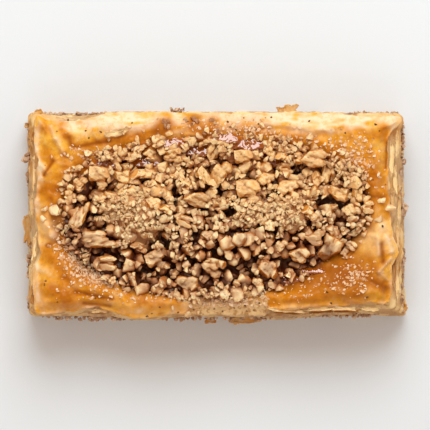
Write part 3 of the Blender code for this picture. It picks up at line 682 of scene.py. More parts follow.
def pastrySheet(name, edge, heightAt, look, number, share, foot):
    piece, s, t = addGrid(name, look["around"], look["across"])
    run, reach = (s + 1) / 2, (t + 1) / 2
    x, y, outX, outY = walkEdge(run, edge, layers["corner"], foot)
    layer = look["layer"] + 9 * number
    out = ripples(x, y, [(*wave, layer + at) for at, wave in enumerate(look["waver"])])
    out += look["spread"] * (2 * ((number * 0.618) % 1) - 1) - look["back"]
    brown = nearAny(x, y, sides["brown"])
    # painted shade: the sheets set back are painted browner and those that stand out paler
    tone = 0.05 - 0.3 * out / mm + ripples(x, y, ((0.8, 7 * mm, layer + 6), (0.7, 1.3 * mm, layer + 4)))
    tone += 0.6 * brown - 0.8 * nearAny(x, y, sides["cream"])
    tone += (0.4 if number % 4 < 2 else -0.4) - 0.5 * (number < 2)
    torn = look["tearDepth"] * smoothStep(0.15, 0.45, ripple(x, y, look["tearLength"], layer + 5))
    out = np.minimum(out - torn, look["most"] * (1.5 - 0.5 * foot))
    along = out * reach - look["depth"] * (1 - reach)
    sheetX, sheetY = x + along * outX, y + along * outY
    lift = look["lift"] * ripple(x, y, look["liftLength"], layer + 7) * (0.4 + 0.6 * reach)
    lift += 0.12 * mm * ripple(sheetX, sheetY, 1.6 * mm, layer + 8) * reach
    writePoints(piece, sheetX, sheetY, heightAt(x, y, share) + lift)
    front = smoothStep(-0.5, -0.95, outY) * min(1, 0.2 + 1.1 * foot) * 0.3
    golden = nearAny(x, y, sides["golden"]) * (0.6 + 0.8 * ripple(x, y, 3 * mm, layer + 3))
    setMasks(piece, edge=smoothStep(0.6, 1, reach), tone=unit(tone), golden=unit(golden),
             shade=np.maximum(nearAny(x, y, sides["grey"]) * (1 - brown) * 0.9, front))
    closeSeam(piece)
    addModifier(piece, "SOLIDIFY", thickness=look["thick"], offset=0)
    return piece


def makeSheets(name, look, upper, lower, heightAt, fromFoot, slot, *nodes):
    parts = []
    for number in range(look["count"]):
        share = (number + 0.5) / look["count"]
        edge = mixEdges(upper, lower, share)
        foot = mix(fromFoot, 1, share)
        parts.append(pastrySheet(f"{name}{number}", edge, heightAt, look, number, share, foot))
    finishPiece(joinPieces(name, parts), "pastrySheets", slot, *nodes)


def layerCore(name, edge, low, high, rows, size, length, finish, slot, *nodes):    # body behind the sheets
    piece, s, t = addGrid(name, coreLook["columns"], rows)
    x, y, outX, outY = walkEdge((s + 1) / 2, edge, layers["corner"] * coreLook["corner"])
    up = (t + 1) / 2
    z = mix(low, high, up)
    band = np.array([noise.noise((a / length, b / length, c / (0.7 * mm))) for a, b, c in zip(x, y, z)])
    out = np.where((up > coreLook["flat"]) & (up < 1 - coreLook["flat"]), size * band, -0.3 * mm)
    writePoints(piece, x + out * outX, y + out * outY, z)
    setMasks(piece, tone=unit(0.4 + 0.6 * band))
    closeSeam(piece, fillEnds=True)
    finishPiece(piece, finish, slot, *nodes)


def makeTopSide():
    rim, foot = layers["rim"], layers["foot"]

    def heightAt(x, y, share):
        return mix(crustHeight(x, y) - 1.1 * mm, topFoot + 0.2 * mm, share)

    makeSheets("topSheets", topSheets, mixEdges(rim, rim, 0, -0.2 * mm), mixEdges(foot, foot, 0, 0.4 * mm),
               heightAt, 0, "golden_crust", "top_pastry")
    layerCore("topCore", mixEdges(rim, foot, 0.5, -3.7 * mm), topFoot, crust["floor"] - 0.6 * mm, 16,
              0.4 * mm, 3 * mm, "pastryInside", "golden_crust", "top_pastry")


def makeBase():
    edge = layers["base"]

    def heightAt(x, y, share):
        return mix(baseTop - 0.3 * mm, 0.35 * mm, share) + 0 * x

    makeSheets("baseSheets", baseSheets, edge, edge, heightAt, 1, "base_crust", "base_pastry")
    layerCore("baseCore", mixEdges(edge, edge, 0, -1.2 * mm), 0, baseTop - 0.1 * mm, 12,
              0.35 * mm, 3 * mm, "pastryInside", "base_crust", "base_pastry")


flakeLook = {"columns": 18, "rows": 10, "thick": 0.22 * mm, "goldenBelow": 10 * mm}
coreLook = {"columns": 300, "corner": 0.7, "flat": 0.001}
flakes = (    # torn flakes: x, y, height, length, width in mm, turn in degrees, curl in mm, tone
    (21.4, 30.4, 7.4, 4.6, 3, 8, 0.3, 0.3), (19, 30.2, 7, 3, 1.8, -20, 0.3, 0.5),
    (-54, -4.6, 7, 8.6, 2.2, 90, 0.3, 0.4), (-54.3, -1.6, 6.4, 3.6, 1.6, 84, 0.2, 0.2),
    (-1.4, -30.2, 6.4, 3.2, 2.2, 0, 0.2, 0.9), (8.2, -30, 6.8, 8.4, 2.2, 3, 0.3, 0.4),
    (5.6, -30.3, 6.2, 3.4, 2, -12, 0.2, 0.3), (53.4, -26.4, 7.2, 3.6, 3, 70, 0.3, 0.3),
    (-51.2, 29.2, 7.4, 3, 2, 40, 0.3, 0.3), (-54.2, 25.6, 7, 1.8, 1.2, 80, 0.2, 0.4))
topFlakes = (    # the same for flakes and loose strands, but the height is above the crust
    (-28.8, 23.6, 0.6, 5.4, 2, 16, 0.5, -0.3), (-26, 24.3, 0.8, 2.4, 2, 30, 0.6, 0),
    (7.6, 21.2, 0.8, 7.2, 2.4, -22, 0.5, 0.1), (6.9, -22.4, 1.2, 5.8, 3.6, 8, 0.6, 0.5),
    (41, -4.6, 0.4, 4.6, 2, 35, 0.3, 0), (-42.5, -3.5, 0.5, 4.2, 1.2, 55, 0.4, 0.1),
    (20.5, -28.2, -1.6, 8, 0.8, -3, 0.3, 1.2), (30.5, -27.9, -1.8, 7, 0.8, 3, 0.3, 1.2),
    (38.5, -27.7, -2, 7, 0.8, 0, 0.3, 1.2), (-34, -28.2, -2, 6, 0.7, 2, 0.3, 1.2),
    (20.5, -27.5, -0.5, 9, 1.3, -3, 0.5, 0), (29.5, -27.1, -0.3, 8, 1.2, 6, 0.5, 0),
    (37.5, -27, -0.6, 7, 1.2, -2, 0.4, 0.1), (25.5, -28.3, -3, 7, 1.2, 4, 0.4, 0.2),
    (45, -27.2, -0.8, 6, 1.2, 0, 0.4, 0.1), (-33, -27.6, -1.2, 6, 1.2, 3, 0.4, 0.4),
    (50.8, 16.5, -1, 11, 1.2, 88, 0.5, 0), (51.9, 9.5, -2, 9, 1, 92, 0.4, 0),
    (50.9, 4, -1.4, 7, 1, 86, 0.4, 0.3), (52.4, 20, -2.6, 8, 1, 90, 0.4, 0.1),
    (52.6, -7, -2, 8, 1.1, 91, 0.4, 0.2), (51.6, -16.5, -2.2, 8, 0.9, 88, 0.4, 0.8),
    (52.6, -19, -3, 8, 1, 90, 0.4, 0), (53, 2, -3, 9, 0.9, 90, 0.4, 0.3),
    (-52.4, 12, -1.2, 10, 1, 88, 0.5, 0), (-53, 3, -2, 8, 0.9, 92, 0.4, 0.3),
    (-52.3, -9.5, -1, 8, 1.2, 86, 0.5, 0), (-52.9, -17.5, -2, 8, 0.9, 90, 0.4, 0.2),
    (-52.8, 22.5, -1.2, 3.6, 0.8, 85, 0.3, 1), (-52.9, -24, -1.6, 3.4, 0.8, 88, 0.3, 1))


def makeFlake(number, x, y, z, length, width, turn, curl, tone):
    piece, s, t = addGrid("flake", flakeLook["columns"], flakeLook["rows"])
    torn = 0.9 + ripples(s, t, ((0.55, 0.75, 300 + number), (0.3, 0.3, 320 + number)))
    rounded = 1 - 0.25 * (s * t) ** 2
    across, along = s * torn * rounded * length / 2, t * torn * rounded * width / 2
    bend = curl * (s * s + 0.6 * t * t - 0.5) + 0.15 * mm * ripple(s, t, 0.35, 340 + number)
    cos, sin = math.cos(math.radians(turn)), math.sin(math.radians(turn))
    writePoints(piece, x + across * cos - along * sin, y + across * sin + along * cos, z + bend)
    golden = unit(0.65 + 0.8 * ripple(x + across, y + along, 1.6 * mm, 345)) * (z < flakeLook["goldenBelow"])
    setMasks(piece, tone=tone, edge=np.maximum(np.abs(s), np.abs(t)) ** 2, shade=0, golden=golden)
    addModifier(piece, "SOLIDIFY", thickness=flakeLook["thick"], offset=0)
    return piece


def makeFlakes():
    parts = [makeFlake(number, *(value * mm for value in row[:5]), row[5], row[6] * mm, row[7])
             for number, row in enumerate(flakes)]
    finishPiece(joinPieces("baseFlakes", parts), "pastrySheets", "base_crust", "base_pastry")
    parts = []
    for number, (x, y, up, length, width, turn, curl, tone) in enumerate(topFlakes):
        x, y = x * photoMm, y * photoMm
        z = crustAt(x, y) + up * mm
        parts.append(makeFlake(number + 10, x, y, z, length * mm, width * mm, turn, curl * mm, tone))
    finishPiece(joinPieces("topFlakes", parts), "pastrySheets", "golden_crust", "top_pastry")


# ---- pieces of nut ----

kindSeed = 21
nutKinds = {    # kinds of it, lobes, their spread and radius, cuts and how far out, faces, roughness, voxel
    "large": (16, 6, 0.52, (0.29, 0.44), 4, (0.2, 0.38), 900, 0.056, 0.042),
    "medium": (18, 2, 0.3, (0.42, 0.58), 6, (0.14, 0.34), 220, 0.05, 0.055),
    "small": (14, 1, 0.05, (0.55, 0.66), 7, (0.16, 0.34), 64, 0.045, 0.08),
    "grain": (8, 1, 0, (0.55, 0.66), 6, (0.18, 0.36), 24, 0.03, 0.1),
}


def creasesOf(points, triangles):    # above 0 in creases, below 0 on ridges; and the way each point faces
    around, count, facing = np.zeros_like(points), np.zeros(len(points)), np.zeros_like(points)
    corners = points[triangles]
    across = np.cross(corners[:, 1] - corners[:, 0], corners[:, 2] - corners[:, 0])
    for at in range(3):
        np.add.at(around, triangles[:, at], corners[:, (at + 1) % 3] + corners[:, (at + 2) % 3])
        np.add.at(count, triangles[:, at], 2)
        np.add.at(facing, triangles[:, at], across)
    facing /= np.linalg.norm(facing, axis=1, keepdims=True) + tiny
    return ((around / count[:, None] - points) * facing).sum(axis=1), facing


def roughen(piece, name, length, strength):
    clouds = bpy.data.textures.new(name, "CLOUDS")
    clouds.noise_scale = length
    addModifier(piece, "DISPLACE", texture=clouds, strength=strength, mid_level=0.5)


def makeKind(name, look, draw):    # lobes of kernel joined, cut with a knife, then roughened
    lobes, spread, radius, slices, cutAt, faces, rough, voxel = look
    parts = []
    for lobe in range(lobes):
        away = spread * draw.uniform(0.7, 1.2) * (lobe > 0 or lobes < 3)
        turn = lobe * 2 * math.pi / lobes + draw.uniform(-0.5, 0.5)
        bpy.ops.mesh.primitive_ico_sphere_add(
            subdivisions=3, radius=draw.uniform(*radius),
            location=(away * math.cos(turn), away * math.sin(turn), draw.uniform(-0.18, 0.18)))
        parts.append(bpy.context.object)
    piece = joinPieces(name, parts)
    addModifier(piece, "REMESH", mode="VOXEL", voxel_size=voxel)
    roughen(piece, name, 0.34, rough * 3.6)
    cuts = []
    bpy.ops.object.mode_set(mode="EDIT")
    for cut in range(slices):
        turn, rise = draw.uniform(0, 2 * math.pi), draw.uniform(-0.7, 1.0)
        facing = np.array((math.cos(turn) * math.cos(rise), math.sin(turn) * math.cos(rise), math.sin(rise)))
        cuts.append((facing, draw.uniform(*cutAt) + spread * 0.4))
        bpy.ops.mesh.select_all(action="SELECT")
        bpy.ops.mesh.bisect(plane_co=facing * cuts[-1][1], plane_no=facing, use_fill=True, clear_outer=True)
    bpy.ops.object.mode_set(mode="OBJECT")
    addModifier(piece, "REMESH", mode="VOXEL", voxel_size=voxel * 0.8)
    addModifier(piece, "SMOOTH", factor=0.35, iterations=1)
    roughen(piece, name + "Fine", 0.14, rough * 1.3)
    count = sum(len(face.vertices) - 2 for face in piece.data.polygons)
    addModifier(piece, "DECIMATE", ratio=min(1, faces / count))
    addModifier(piece, "TRIANGULATE")
    points = readPoints(piece)
    triangles = np.array([tuple(face.vertices) for face in piece.data.polygons])
    onCut = np.max([smoothStep(0.14, 0.03, far - points @ facing) for facing, far in cuts], axis=0)
    low, high = points.min(axis=0), points.max(axis=0)
    points = (points - (low + high) / 2) / (high - low)
    crease, facing = creasesOf(points, triangles)
    crease /= crease.std() + tiny
    bpy.data.objects.remove(piece, do_unlink=True)
    # crease is where the walnut colours paint shade into the creases
    return {"points": points, "faces": triangles, "facing": facing, "outer": 1 - onCut,
            "crease": smoothStep(0.4, 2, crease), "ridge": smoothStep(-0.6, -2.2, crease)}


def makeKinds():
    draw = random.Random(kindSeed)
    return {size: [makeKind(f"{size}{number}", look[1:], draw) for number in range(look[0])]
            for size, look in nutKinds.items()}


def meshFromArrays(name, points, triangles):
    data = bpy.data.meshes.new(name)
    data.vertices.add(len(points))
    data.vertices.foreach_set("co", points.astype(np.float32).ravel())
    data.loops.add(len(triangles) * 3)
    data.loops.foreach_set("vertex_index", triangles.astype(np.int32).ravel())
    data.polygons.add(len(triangles))
    data.polygons.foreach_set("loop_start", np.arange(len(triangles), dtype=np.int32) * 3)
    data.update()
    data.validate()
    piece = bpy.data.objects.new(name, data)
    bpy.context.scene.collection.objects.link(piece)
    return piece


def scatterPieces(name, kinds, rows):    # rows of kind, place, size, turn as Euler, tone, skin, and the dark stain with painted shade
    points, triangles, masks, start = [], [], {}, 0
    for kind, place, size, turn, tone, skin, wet in rows:
        shape = kinds[kind % len(kinds)]
        spin = np.array(Euler(turn).to_matrix())
        points.append((shape["points"] * size) @ spin.T + place)
        triangles.append(shape["faces"] + start)
        start += len(points[-1])
        facing = (shape["facing"] / size) @ spin.T
        upward = facing[:, 2] / (np.linalg.norm(facing, axis=1) + tiny)
        even = np.ones(len(upward))
        found = {"tone": tone * even, "wet": wet * even, "damp": min(2.5 * wet, 1) * even,
                 "skin": unit(shape["outer"] * skin + max(skin - 1, 0)), "crease": shape["crease"],
                 # side and top: painted shade on the flanks and painted light on faces turned up
                 "ridge": shape["ridge"], "side": smoothStep(0.72, 0.15, upward),
                 "top": smoothStep(0.58, 0.88, upward)}
        for label, values in found.items():
            masks.setdefault(label, []).append(values)
    piece = meshFromArrays(name, np.concatenate(points), np.concatenate(triangles))
    setMasks(piece, **{label: np.concatenate(values) for label, values in masks.items()})
    return piece


# ---- the filling ----

filling = {
    "seed": 31, "cutAngle": 40, "crumbs": 4200, "size": (0.7 * mm, 1.8 * mm), "ledgeCrumbs": 600,
    "ledgeSize": (0.5 * mm, 1.2 * mm),
    "spillSize": (0.6 * mm, 1.7 * mm), "fewest": 8, "fewSize": 2.2,    # spills of a few bits have larger ones
    "spills": (    # from and to x, y and z in mm, count
        (-49, -31, 27.9, 29, 11, 13, 130), (37, 52, 28.6, 29.3, 10.5, 12.5, 60),
        (-50, -41, -29, -28.2, 9, 12, 40), (-16, 15, -30, -29.2, 8, 11.5, 60),
        (-46, -24, -30, -29.2, 8, 11, 45), (-36.5, -31.5, -29.6, -28.6, 9, 12, 40),
        (20, 44, -29.2, -28.6, 9, 12, 40), (-13, -9, 29.2, 30.6, 8, 9.5, 16), (-54, -53.4, 8, 15, 8, 11, 16),
        (-54.4, -53.8, 15.8, 17.4, 9, 10.5, 5), (-53.8, -53, -18, -11.5, 8, 11, 40),
        (-53.6, -52.8, -27, -23.5, 8, 11, 24), (53.4, 54.1, 14.5, 26.5, 8, 10.5, 26),
        (53.9, 54.3, 0.8, 2.8, 9, 10, 5), (53.4, 54.1, -21.5, -10, 8, 10, 24)),
}


def makeFilling(kinds):
    edge = layers["fill"]
    layerCore("fillingCore", mixEdges(edge, edge, 0, -1.1 * mm), fillFoot - 0.2 * mm, fillTop + 0.2 * mm, 10,
              0.7 * mm, 1.4 * mm, "groundNutFilling", "nut_filling", "walnut_filling")
    draw = np.random.default_rng(filling["seed"])
    rows = []

    def addCrumb(at, place, size, toneOf):
        rows.append((at, place, size, tuple(draw.uniform(0, fullTurn, 3)), toneOf(draw.random()), 1, 0))

    def scatterRows(name):
        piece = scatterPieces(name, kinds["grain"], rows)
        finishPiece(piece, "groundNutFilling", "nut_filling", "walnut_filling", sharpest=filling["cutAngle"])
        rows.clear()

    places = zip(*walkEdge(draw.random(filling["crumbs"]), edge, layers["corner"]))
    for at, (x, y, outX, outY) in enumerate(places):
        size = draw.uniform(*filling["size"]) * np.array((1, draw.uniform(0.6, 0.9), draw.uniform(0.5, 0.8)))
        out = draw.uniform(-1.3, -0.5) * mm
        place = (x + out * outX, y + out * outY, draw.uniform(fillFoot, fillTop))
        addCrumb(at, place, size, lambda tone: tone**1.3)
    scatterRows("fillingCrumbs")
    edge = mixEdges(layers["base"], layers["base"], 0, -0.3 * mm)
    found = walkEdge(draw.random(filling["ledgeCrumbs"]), edge, layers["corner"])
    clumps = ripple(*found[:2], 5 * mm, 80)
    for at, (x, y, outX, outY) in enumerate(zip(*found)):
        if draw.random() > 0.05 + 1.3 * clumps[at]:
            continue
        size = draw.uniform(*filling["ledgeSize"]) * np.array((1, 0.8, 0.6))
        out = draw.uniform(-0.5, 0.25) * mm
        place = (x + out * outX, y + out * outY, baseTop - draw.uniform(-0.5, 1.2) * mm)
        addCrumb(at, place, size, lambda tone: tone * 0.7)
    for *limits, number in filling["spills"]:
        larger = filling["fewSize"] if number < filling["fewest"] else 1
        for at in range(number):
            size = draw.uniform(*filling["spillSize"]) * np.array((1, 0.8, 0.6)) * larger
            place = np.array([draw.uniform(*limits[axis:axis + 2]) for axis in (0, 2, 4)]) * mm
            addCrumb(at, place, size, lambda tone: tone)
    scatterRows("ledgeCrumbs")


# ---- the heap ----

landmarks = (    # the largest pieces: x, y, length, width in mm, turn in degrees, tone, skin
    (-33.6, 11.4, 7.6, 5.8, -30, 0.2, 0.3), (-27.2, 10.9, 5.4, 4, 0, 0, 0), (-21.6, 11.6, 6.6, 4, 25, 0, 0),
    (-39, 9, 4.8, 4, 0, 0.3, 0.3), (-39.1, 0.2, 8.8, 4.2, 66, 0, 0.1), (-33.6, -7, 10.4, 5.2, 0, 0.1, 0.2),
    (-31.3, -13.8, 6, 4.4, 0, 0.2, 0.2), (-12.2, 17, 5.6, 4.2, 10, 0.6, 0.3),
    (-1, 17.8, 5.6, 4.2, 60, 0.3, 0.1), (8, 16.6, 6.8, 5.2, -20, 0.4, 0.3),
    (1.6, 12.1, 6.6, 6.6, 0, 0.4, 0.2), (-3.5, 11, 6.4, 3.8, -70, 0.3, 0.1),
    (9.4, 7.2, 8, 6.6, -20, 0.6, 0.3), (-5.3, 4.6, 7.6, 4.6, -20, 0.4, 0.6), (15, 10.1, 5.4, 4.8, -30, 0, 0),
    (21.2, 7.8, 6.8, 5.4, -20, 0.1, 0.1), (28.1, 16.4, 7.6, 5.4, -10, 0.3, 0.2),
    (32.7, 11.8, 5.4, 4.4, 90, 0.2, 0.1), (35, 6.3, 6.4, 4, -15, 0.6, 0.3), (26.6, 0.6, 5.4, 5, 0, 0.2, 0.1),
    (39.3, 1.2, 5.4, 4.2, -35, 0.3, 0.2), (5.4, -8, 9.4, 6.8, 0, 0.1, 0.3),
    (-0.7, -15, 7, 5.8, -20, 0.4, 0.1), (-17.4, -12.7, 6.2, 5.6, 0, 0.3, 0.1),
    (-8.2, -19.9, 7.6, 4.6, 0, 0.1, 0.1), (33, -9.8, 8.2, 6, 62, 0.1, 0.1),
    (24.1, -11.2, 5.6, 5.2, -30, 0.1, 0), (28.1, -6.6, 6.2, 4.6, 0, 0.3, 0.3),
    (15.1, -15.9, 6, 5.2, 0, 0.1, 0.1), (-8.8, -1.7, 5.2, 3.4, -20, 0.8, 0.3),
    (18.9, -8.9, 4.2, 3.6, 0, 0.2, 0.1), (2.7, -22.5, 3.6, 4.4, 20, 0, 0),
    (-22.2, -9.4, 5, 3.6, 0, 0.6, 0.6), (-2.2, -6, 4.6, 3.2, 0, 0.3, 0.1), (-19, 17.8, 4, 3.8, 0, 0.1, 0.1),
    (40.8, 5.8, 3.2, 4.2, 0, 0.1, 0.1), (44, 2.3, 3.4, 4, 0, 0.3, 0.1), (15.8, 18.6, 3.4, 4.8, 0, 0.3, 0.1),
    (20.4, 13.6, 4.2, 3.8, 0, 0.3, 0.2), (29, 10.4, 4, 4.2, -40, 0.4, 0.2),
    (-18.2, 3.5, 5.8, 3.6, -15, 0, 0), (-14.4, 1.5, 4.4, 3.6, 0, 0, 0), (19.2, 16.6, 4.2, 3.4, 20, 0.1, 0),
    (23.8, 16.4, 4.4, 3.6, -30, 0.1, 0.1), (15.8, -2.8, 3.8, 4.2, 60, 0, 0),
    (-42, 6.4, 2.8, 2.6, 0, 0.1, 0.1), (-29.8, -18.8, 2.2, 2.6, 0, 0, 0), (-24.4, -17.9, 2.8, 3, 0, 0.1, 0),
    (12, -19.6, 3.6, 2.8, 0, 0, 0), (37.2, -10.8, 2.6, 3.8, 0, 0.1, 0), (39, -8.6, 4, 3, -40, 0.1, 0))
mealZones = (    # fine meal: x, y, spread in mm, share
    (-25, 2.5, 8, 1), (-21, -4, 6, 0.8), (21, 1, 7, 1), (9, 1, 5, 0.5), (-35, -12.5, 5, 0.5),
    (35, 13, 4.5, 0.5), (-32, 15, 5, 0.4), (-12, -9, 6, 0.5), (20, 18, 6, 0.3), (-8, -21, 8, 0.5))
gaps = (    # dark hollows among the nuts that stay open: x, y, reach in mm
    (-35.5, 7.9, 2.4), (-29.3, 7.1, 1.5), (-37.2, -3.6, 1.5), (5.5, 14.7, 2.4), (-31.3, -10.5, 1.8),
    (-12, 6.5, 1.4), (20, -13, 2.6), (26.5, -12.8, 2.2), (-0.7, -10.5, 1.6), (29.6, 2.9, 1.8), (35, -1, 2),
    (36.8, 3.4, 2.2), (-15, -6, 1.8), (9.8, -13.5, 2.2), (2, 6, 1.4), (-6, -13, 1.6), (9.9, 12.2, 1.5),
    (31, -14, 2), (41.2, 4.6, 1.3), (-21, -7.5, 1.4), (22, -5, 1.4), (3.6, -14, 2), (-15.4, 16.4, 1.4),
    (10.5, -3.8, 1.3), (9.6, -11.6, 1.6), (29.2, 13.2, 1.1), (-2, 8.4, 1.3), (3.8, 0.4, 1.4),
    (-9.5, -4.6, 1.2), (-36.6, 3.8, 1.5), (22.6, -16.2, 1.5), (1, -11.6, 1.5), (3.6, -16.4, 1.4),
    (10, -16.2, 1.4), (-26.5, -14.4, 1.7), (-22, -16.6, 1.5), (-16.8, 14.8, 1.2))
syrup = {
    "columns": 295, "rows": 164, "film": 0.45 * mm, "thick": 0.7 * mm, "sunk": 1.6 * mm,
    "edge": 0.99, "backEdge": 1.08, "tip": 0.27,
    "waves": ((0.26 * mm, 2 * mm, 70), (0.13 * mm, 1 * mm, 71)),    # size, length, layer
    "poolWaves": ((0.2 * mm, 1.3 * mm, 77), (0.1 * mm, 0.65 * mm, 78)),
    "pools": (    # x, y, half length, half width, height in mm: syrup that shows between the nuts
        (-20.5, 15.2, 4.4, 1.5, 3), (-12, 20.4, 3.4, 1.6, 2), (-5.6, 18.6, 3.8, 1.8, 2.4),
        (15.5, 15.6, 4.8, 1.5, 3.4), (3, 22, 3.4, 1.5, 1.6), (9.5, 20.2, 4.4, 1.7, 1.9),
        (-31, 14.6, 3.2, 1.2, 2), (28.4, -16.2, 3.6, 0.8, 1), (21.4, -18.8, 2.8, 1, 1)),
}


def frontShare(y):    # the front half of the heap, where more syrup shows among the nuts and they get more painted shade
    return smoothStep(-2 * mm, -10 * mm, y) * smoothStep(-24 * mm, -19 * mm, y)


def backShare(y):
    return smoothStep(-2 * mm, 6 * mm, y)


def mealBed(x, y):    # 1 where fine meal fills the gaps between the nuts
    found = nearAny(x, y, [zone[:3] for zone in mealZones[:4]])
    return smoothStep(0.3, 0.75, found + 0.25 * ripple(x, y, 2.5 * mm, 61))


def coreRise(share):
    return heap["coreRise"] * unit(1 - share**2) ** heap["coreDoming"]


def poolAt(x, y):    # for each pool: 1 in its middle and 0 outside, and its tipped surface
    found = []
    for px, py, long, wide, high in syrup["pools"]:
        px, py = px * photoMm, py * photoMm
        share = np.exp(-((x - px) / (long * mm)) ** 2 - ((y - py) / (wide * mm)) ** 2)
        ground = crustHeight(np.array([px]), np.array([py]))[0]
        found.append((share, ground + high * mm - syrup["tip"] * (y - py)))
    return found


def startPile():    # a map of heights that each piece comes to rest on
    xs, ys = (np.arange(heapLow[axis] - heap["margin"], heapHigh[axis] + heap["margin"], heap["cell"])
              for axis in (0, 1))
    x, y = np.meshgrid(xs, ys)
    ground = crustHeight(x.ravel(), y.ravel()).reshape(x.shape)
    pool = np.max([share for share, level in poolAt(x, y)], axis=0) > heap["poolFrom"]
    return {"xs": xs, "ys": ys, "x": x, "y": y, "ground": ground, "pool": pool,
            "height": ground + coreRise(heapShare(x, y)) + 0.1 * mm}


def restPiece(pile, x, y, size, turn):
    cell, raised = heap["cell"], heap["sink"] * size[2]
    reach = int(max(size[:2]) / 2 / cell) + 1
    column, row = int((x - pile["xs"][0]) / cell), int((y - pile["ys"][0]) / cell)
    area = (slice(max(row - reach, 0), row + reach + 1), slice(max(column - reach, 0), column + reach + 1))
    dx, dy = pile["x"][area] - x, pile["y"][area] - y
    u = (dx * math.cos(turn) + dy * math.sin(turn)) / (size[0] / 2)
    v = (dy * math.cos(turn) - dx * math.sin(turn)) / (size[1] / 2)
    dome = np.sqrt(unit(1 - u * u - v * v))
    under = dome > 0
    if not under.any():
        return None
    z = np.quantile((pile["height"][area] + raised * dome)[under], heap["restsAt"])
    if z + size[2] / 2 > heap["ceiling"]:
        return None
    pile["height"][area] = np.maximum(pile["height"][area], np.where(under, z + raised * dome, 0))
    return z


def mapAt(pile, name, x, y):
    column, row = (np.clip(((np.asarray(at) - line[0]) / heap["cell"]).astype(int), 0, len(line) - 1)
                   for at, line in ((x, pile["xs"]), (y, pile["ys"])))
    return pile[name][row, column]


def blurred(heights, reach):
    for axis in (0, 1):
        heights = sum(np.roll(heights, step, axis) for step in range(-reach, reach + 1)) / (2 * reach + 1)
    return heights


def heapSpot(draw, reach):    # a random place on the heap, thinning out at its outline
    while True:
        x, y = (draw.uniform(heapLow[axis] - 3 * mm, heapHigh[axis] + 3 * mm) for axis in (0, 1))
        share = float(heapShare(np.array(x), np.array(y)))
        ragged = reach + 0.05 * noise.noise((x / (4 * mm), y / (4 * mm), 6)) + 0.04 * (y > 8 * mm)
        if draw.random() < 1 - smoothStep(ragged - 0.08, ragged + 0.05, share):
            return x, y, share


def fillHeap(pile, draw):    # where every piece of nut comes to rest
    rows = {"medium": [], "large": [], "small": [], "meal": []}
    marks = np.array([(x * photoMm, y * photoMm, max(sizes[:2]) * mm / 2) for x, y, *sizes in landmarks])
    holes = np.array(gaps) * mm

    def onAny(table, x, y, share=1):
        return bool((np.hypot(table[:, 0] - x, table[:, 1] - y) < table[:, 2] * share).any())

    def inPool(x, y):    # a few pieces still lie half under the syrup
        return draw.random() < heap["poolDraw"] and mapAt(pile, "pool", x, y)

    def isOpen(x, y):
        limit = heap["gapFrom"] - 0.28 * frontShare(y) + 0.3 * backShare(y)
        return noise.noise((x / heap["gapLength"], y / heap["gapLength"], 9)) > limit

    def rise(x, y):
        return float(mapAt(pile, "height", x, y) - mapAt(pile, "ground", x, y))

    def target(share):
        return heap["rise"] * max(1 - share * share, 0) ** heap["doming"] + heap["spare"]

    def addPiece(group, x, y, size, tilt, turn, tone, skin):
        z = restPiece(pile, x, y, size, turn)
        if z is not None:
            lean = (draw.uniform(-tilt, tilt), draw.uniform(-tilt, tilt), turn)
            rows[group].append((int(draw.integers(0, 99)), (x, y, z), size, lean, tone, skin, 0))

    def sizeOf(sizes):
        length = draw.uniform(*heap[sizes])
        width = length * draw.uniform(*heap["narrow"])
        return np.array((length, width, width * heap["flatness"]))

    def tones():
        return (0 if draw.random() < heap["plainShare"] else draw.random()), draw.random() ** 2.5

    for _ in range(heap["floorCount"]):
        x, y, share = heapSpot(draw, 0.98)
        bare = isOpen(x, y) and draw.random() < 0.7 * frontShare(y)
        if rise(x, y) < heap["coreRise"] + heap["spare"] and not inPool(x, y) and not bare:
            addPiece("small", x, y, sizeOf("floorSize"), 0.9, draw.uniform(0, fullTurn), *tones())
    for _ in range(heap["mediumCount"]):
        x, y, share = heapSpot(draw, 0.98)
        clear = not onAny(marks, x, y, 0.3) and not onAny(holes, x, y) and not inPool(x, y)
        if clear and rise(x, y) < target(share) - 1.4 * mm:
            addPiece("medium", x, y, sizeOf("mediumSize"), 0.6, draw.uniform(0, fullTurn), *tones())
    for x, y, length, width, turn, tone, skin in landmarks:
        size = np.array((length, width, min(length, width) * heap["landmarkFlatness"])) * mm
        addPiece("large", x * photoMm, y * photoMm, size, 0.25, math.radians(turn), tone, skin)
    for _ in range(heap["smallCount"]):
        x, y, share = heapSpot(draw, 1.02)
        clear = not onAny(marks, x, y, 0.85) and not onAny(holes, x, y, 1.2) and not inPool(x, y)
        if clear and not isOpen(x, y) and rise(x, y) < target(share):
            addPiece("small", x, y, sizeOf("smallSize"), 0.9, draw.uniform(0, fullTurn), *tones())
    count = 0
    while count < heap["mealCount"]:
        zone = mealZones[int(draw.integers(0, len(mealZones)))] if draw.random() < heap["inZones"] else None
        if zone and draw.random() > zone[3]:
            continue
        x, y, share = heapSpot(draw, 1.05)
        if zone:
            x = draw.normal(zone[0], zone[2] * 0.5) * photoMm
            y = draw.normal(zone[1], zone[2] * 0.42) * photoMm
        count += 1
        hidden = onAny(marks, x, y, 0.9) and draw.random() < 0.95 or onAny(holes, x, y, 1.2)
        if not (hidden or inPool(x, y) or (isOpen(x, y) and y < -4 * mm)):
            tone, skin = tones()
            addPiece("meal", x, y, sizeOf("mealSize"), 1.5, draw.uniform(0, fullTurn), tone * 0.3, skin * 0.2)
    return rows


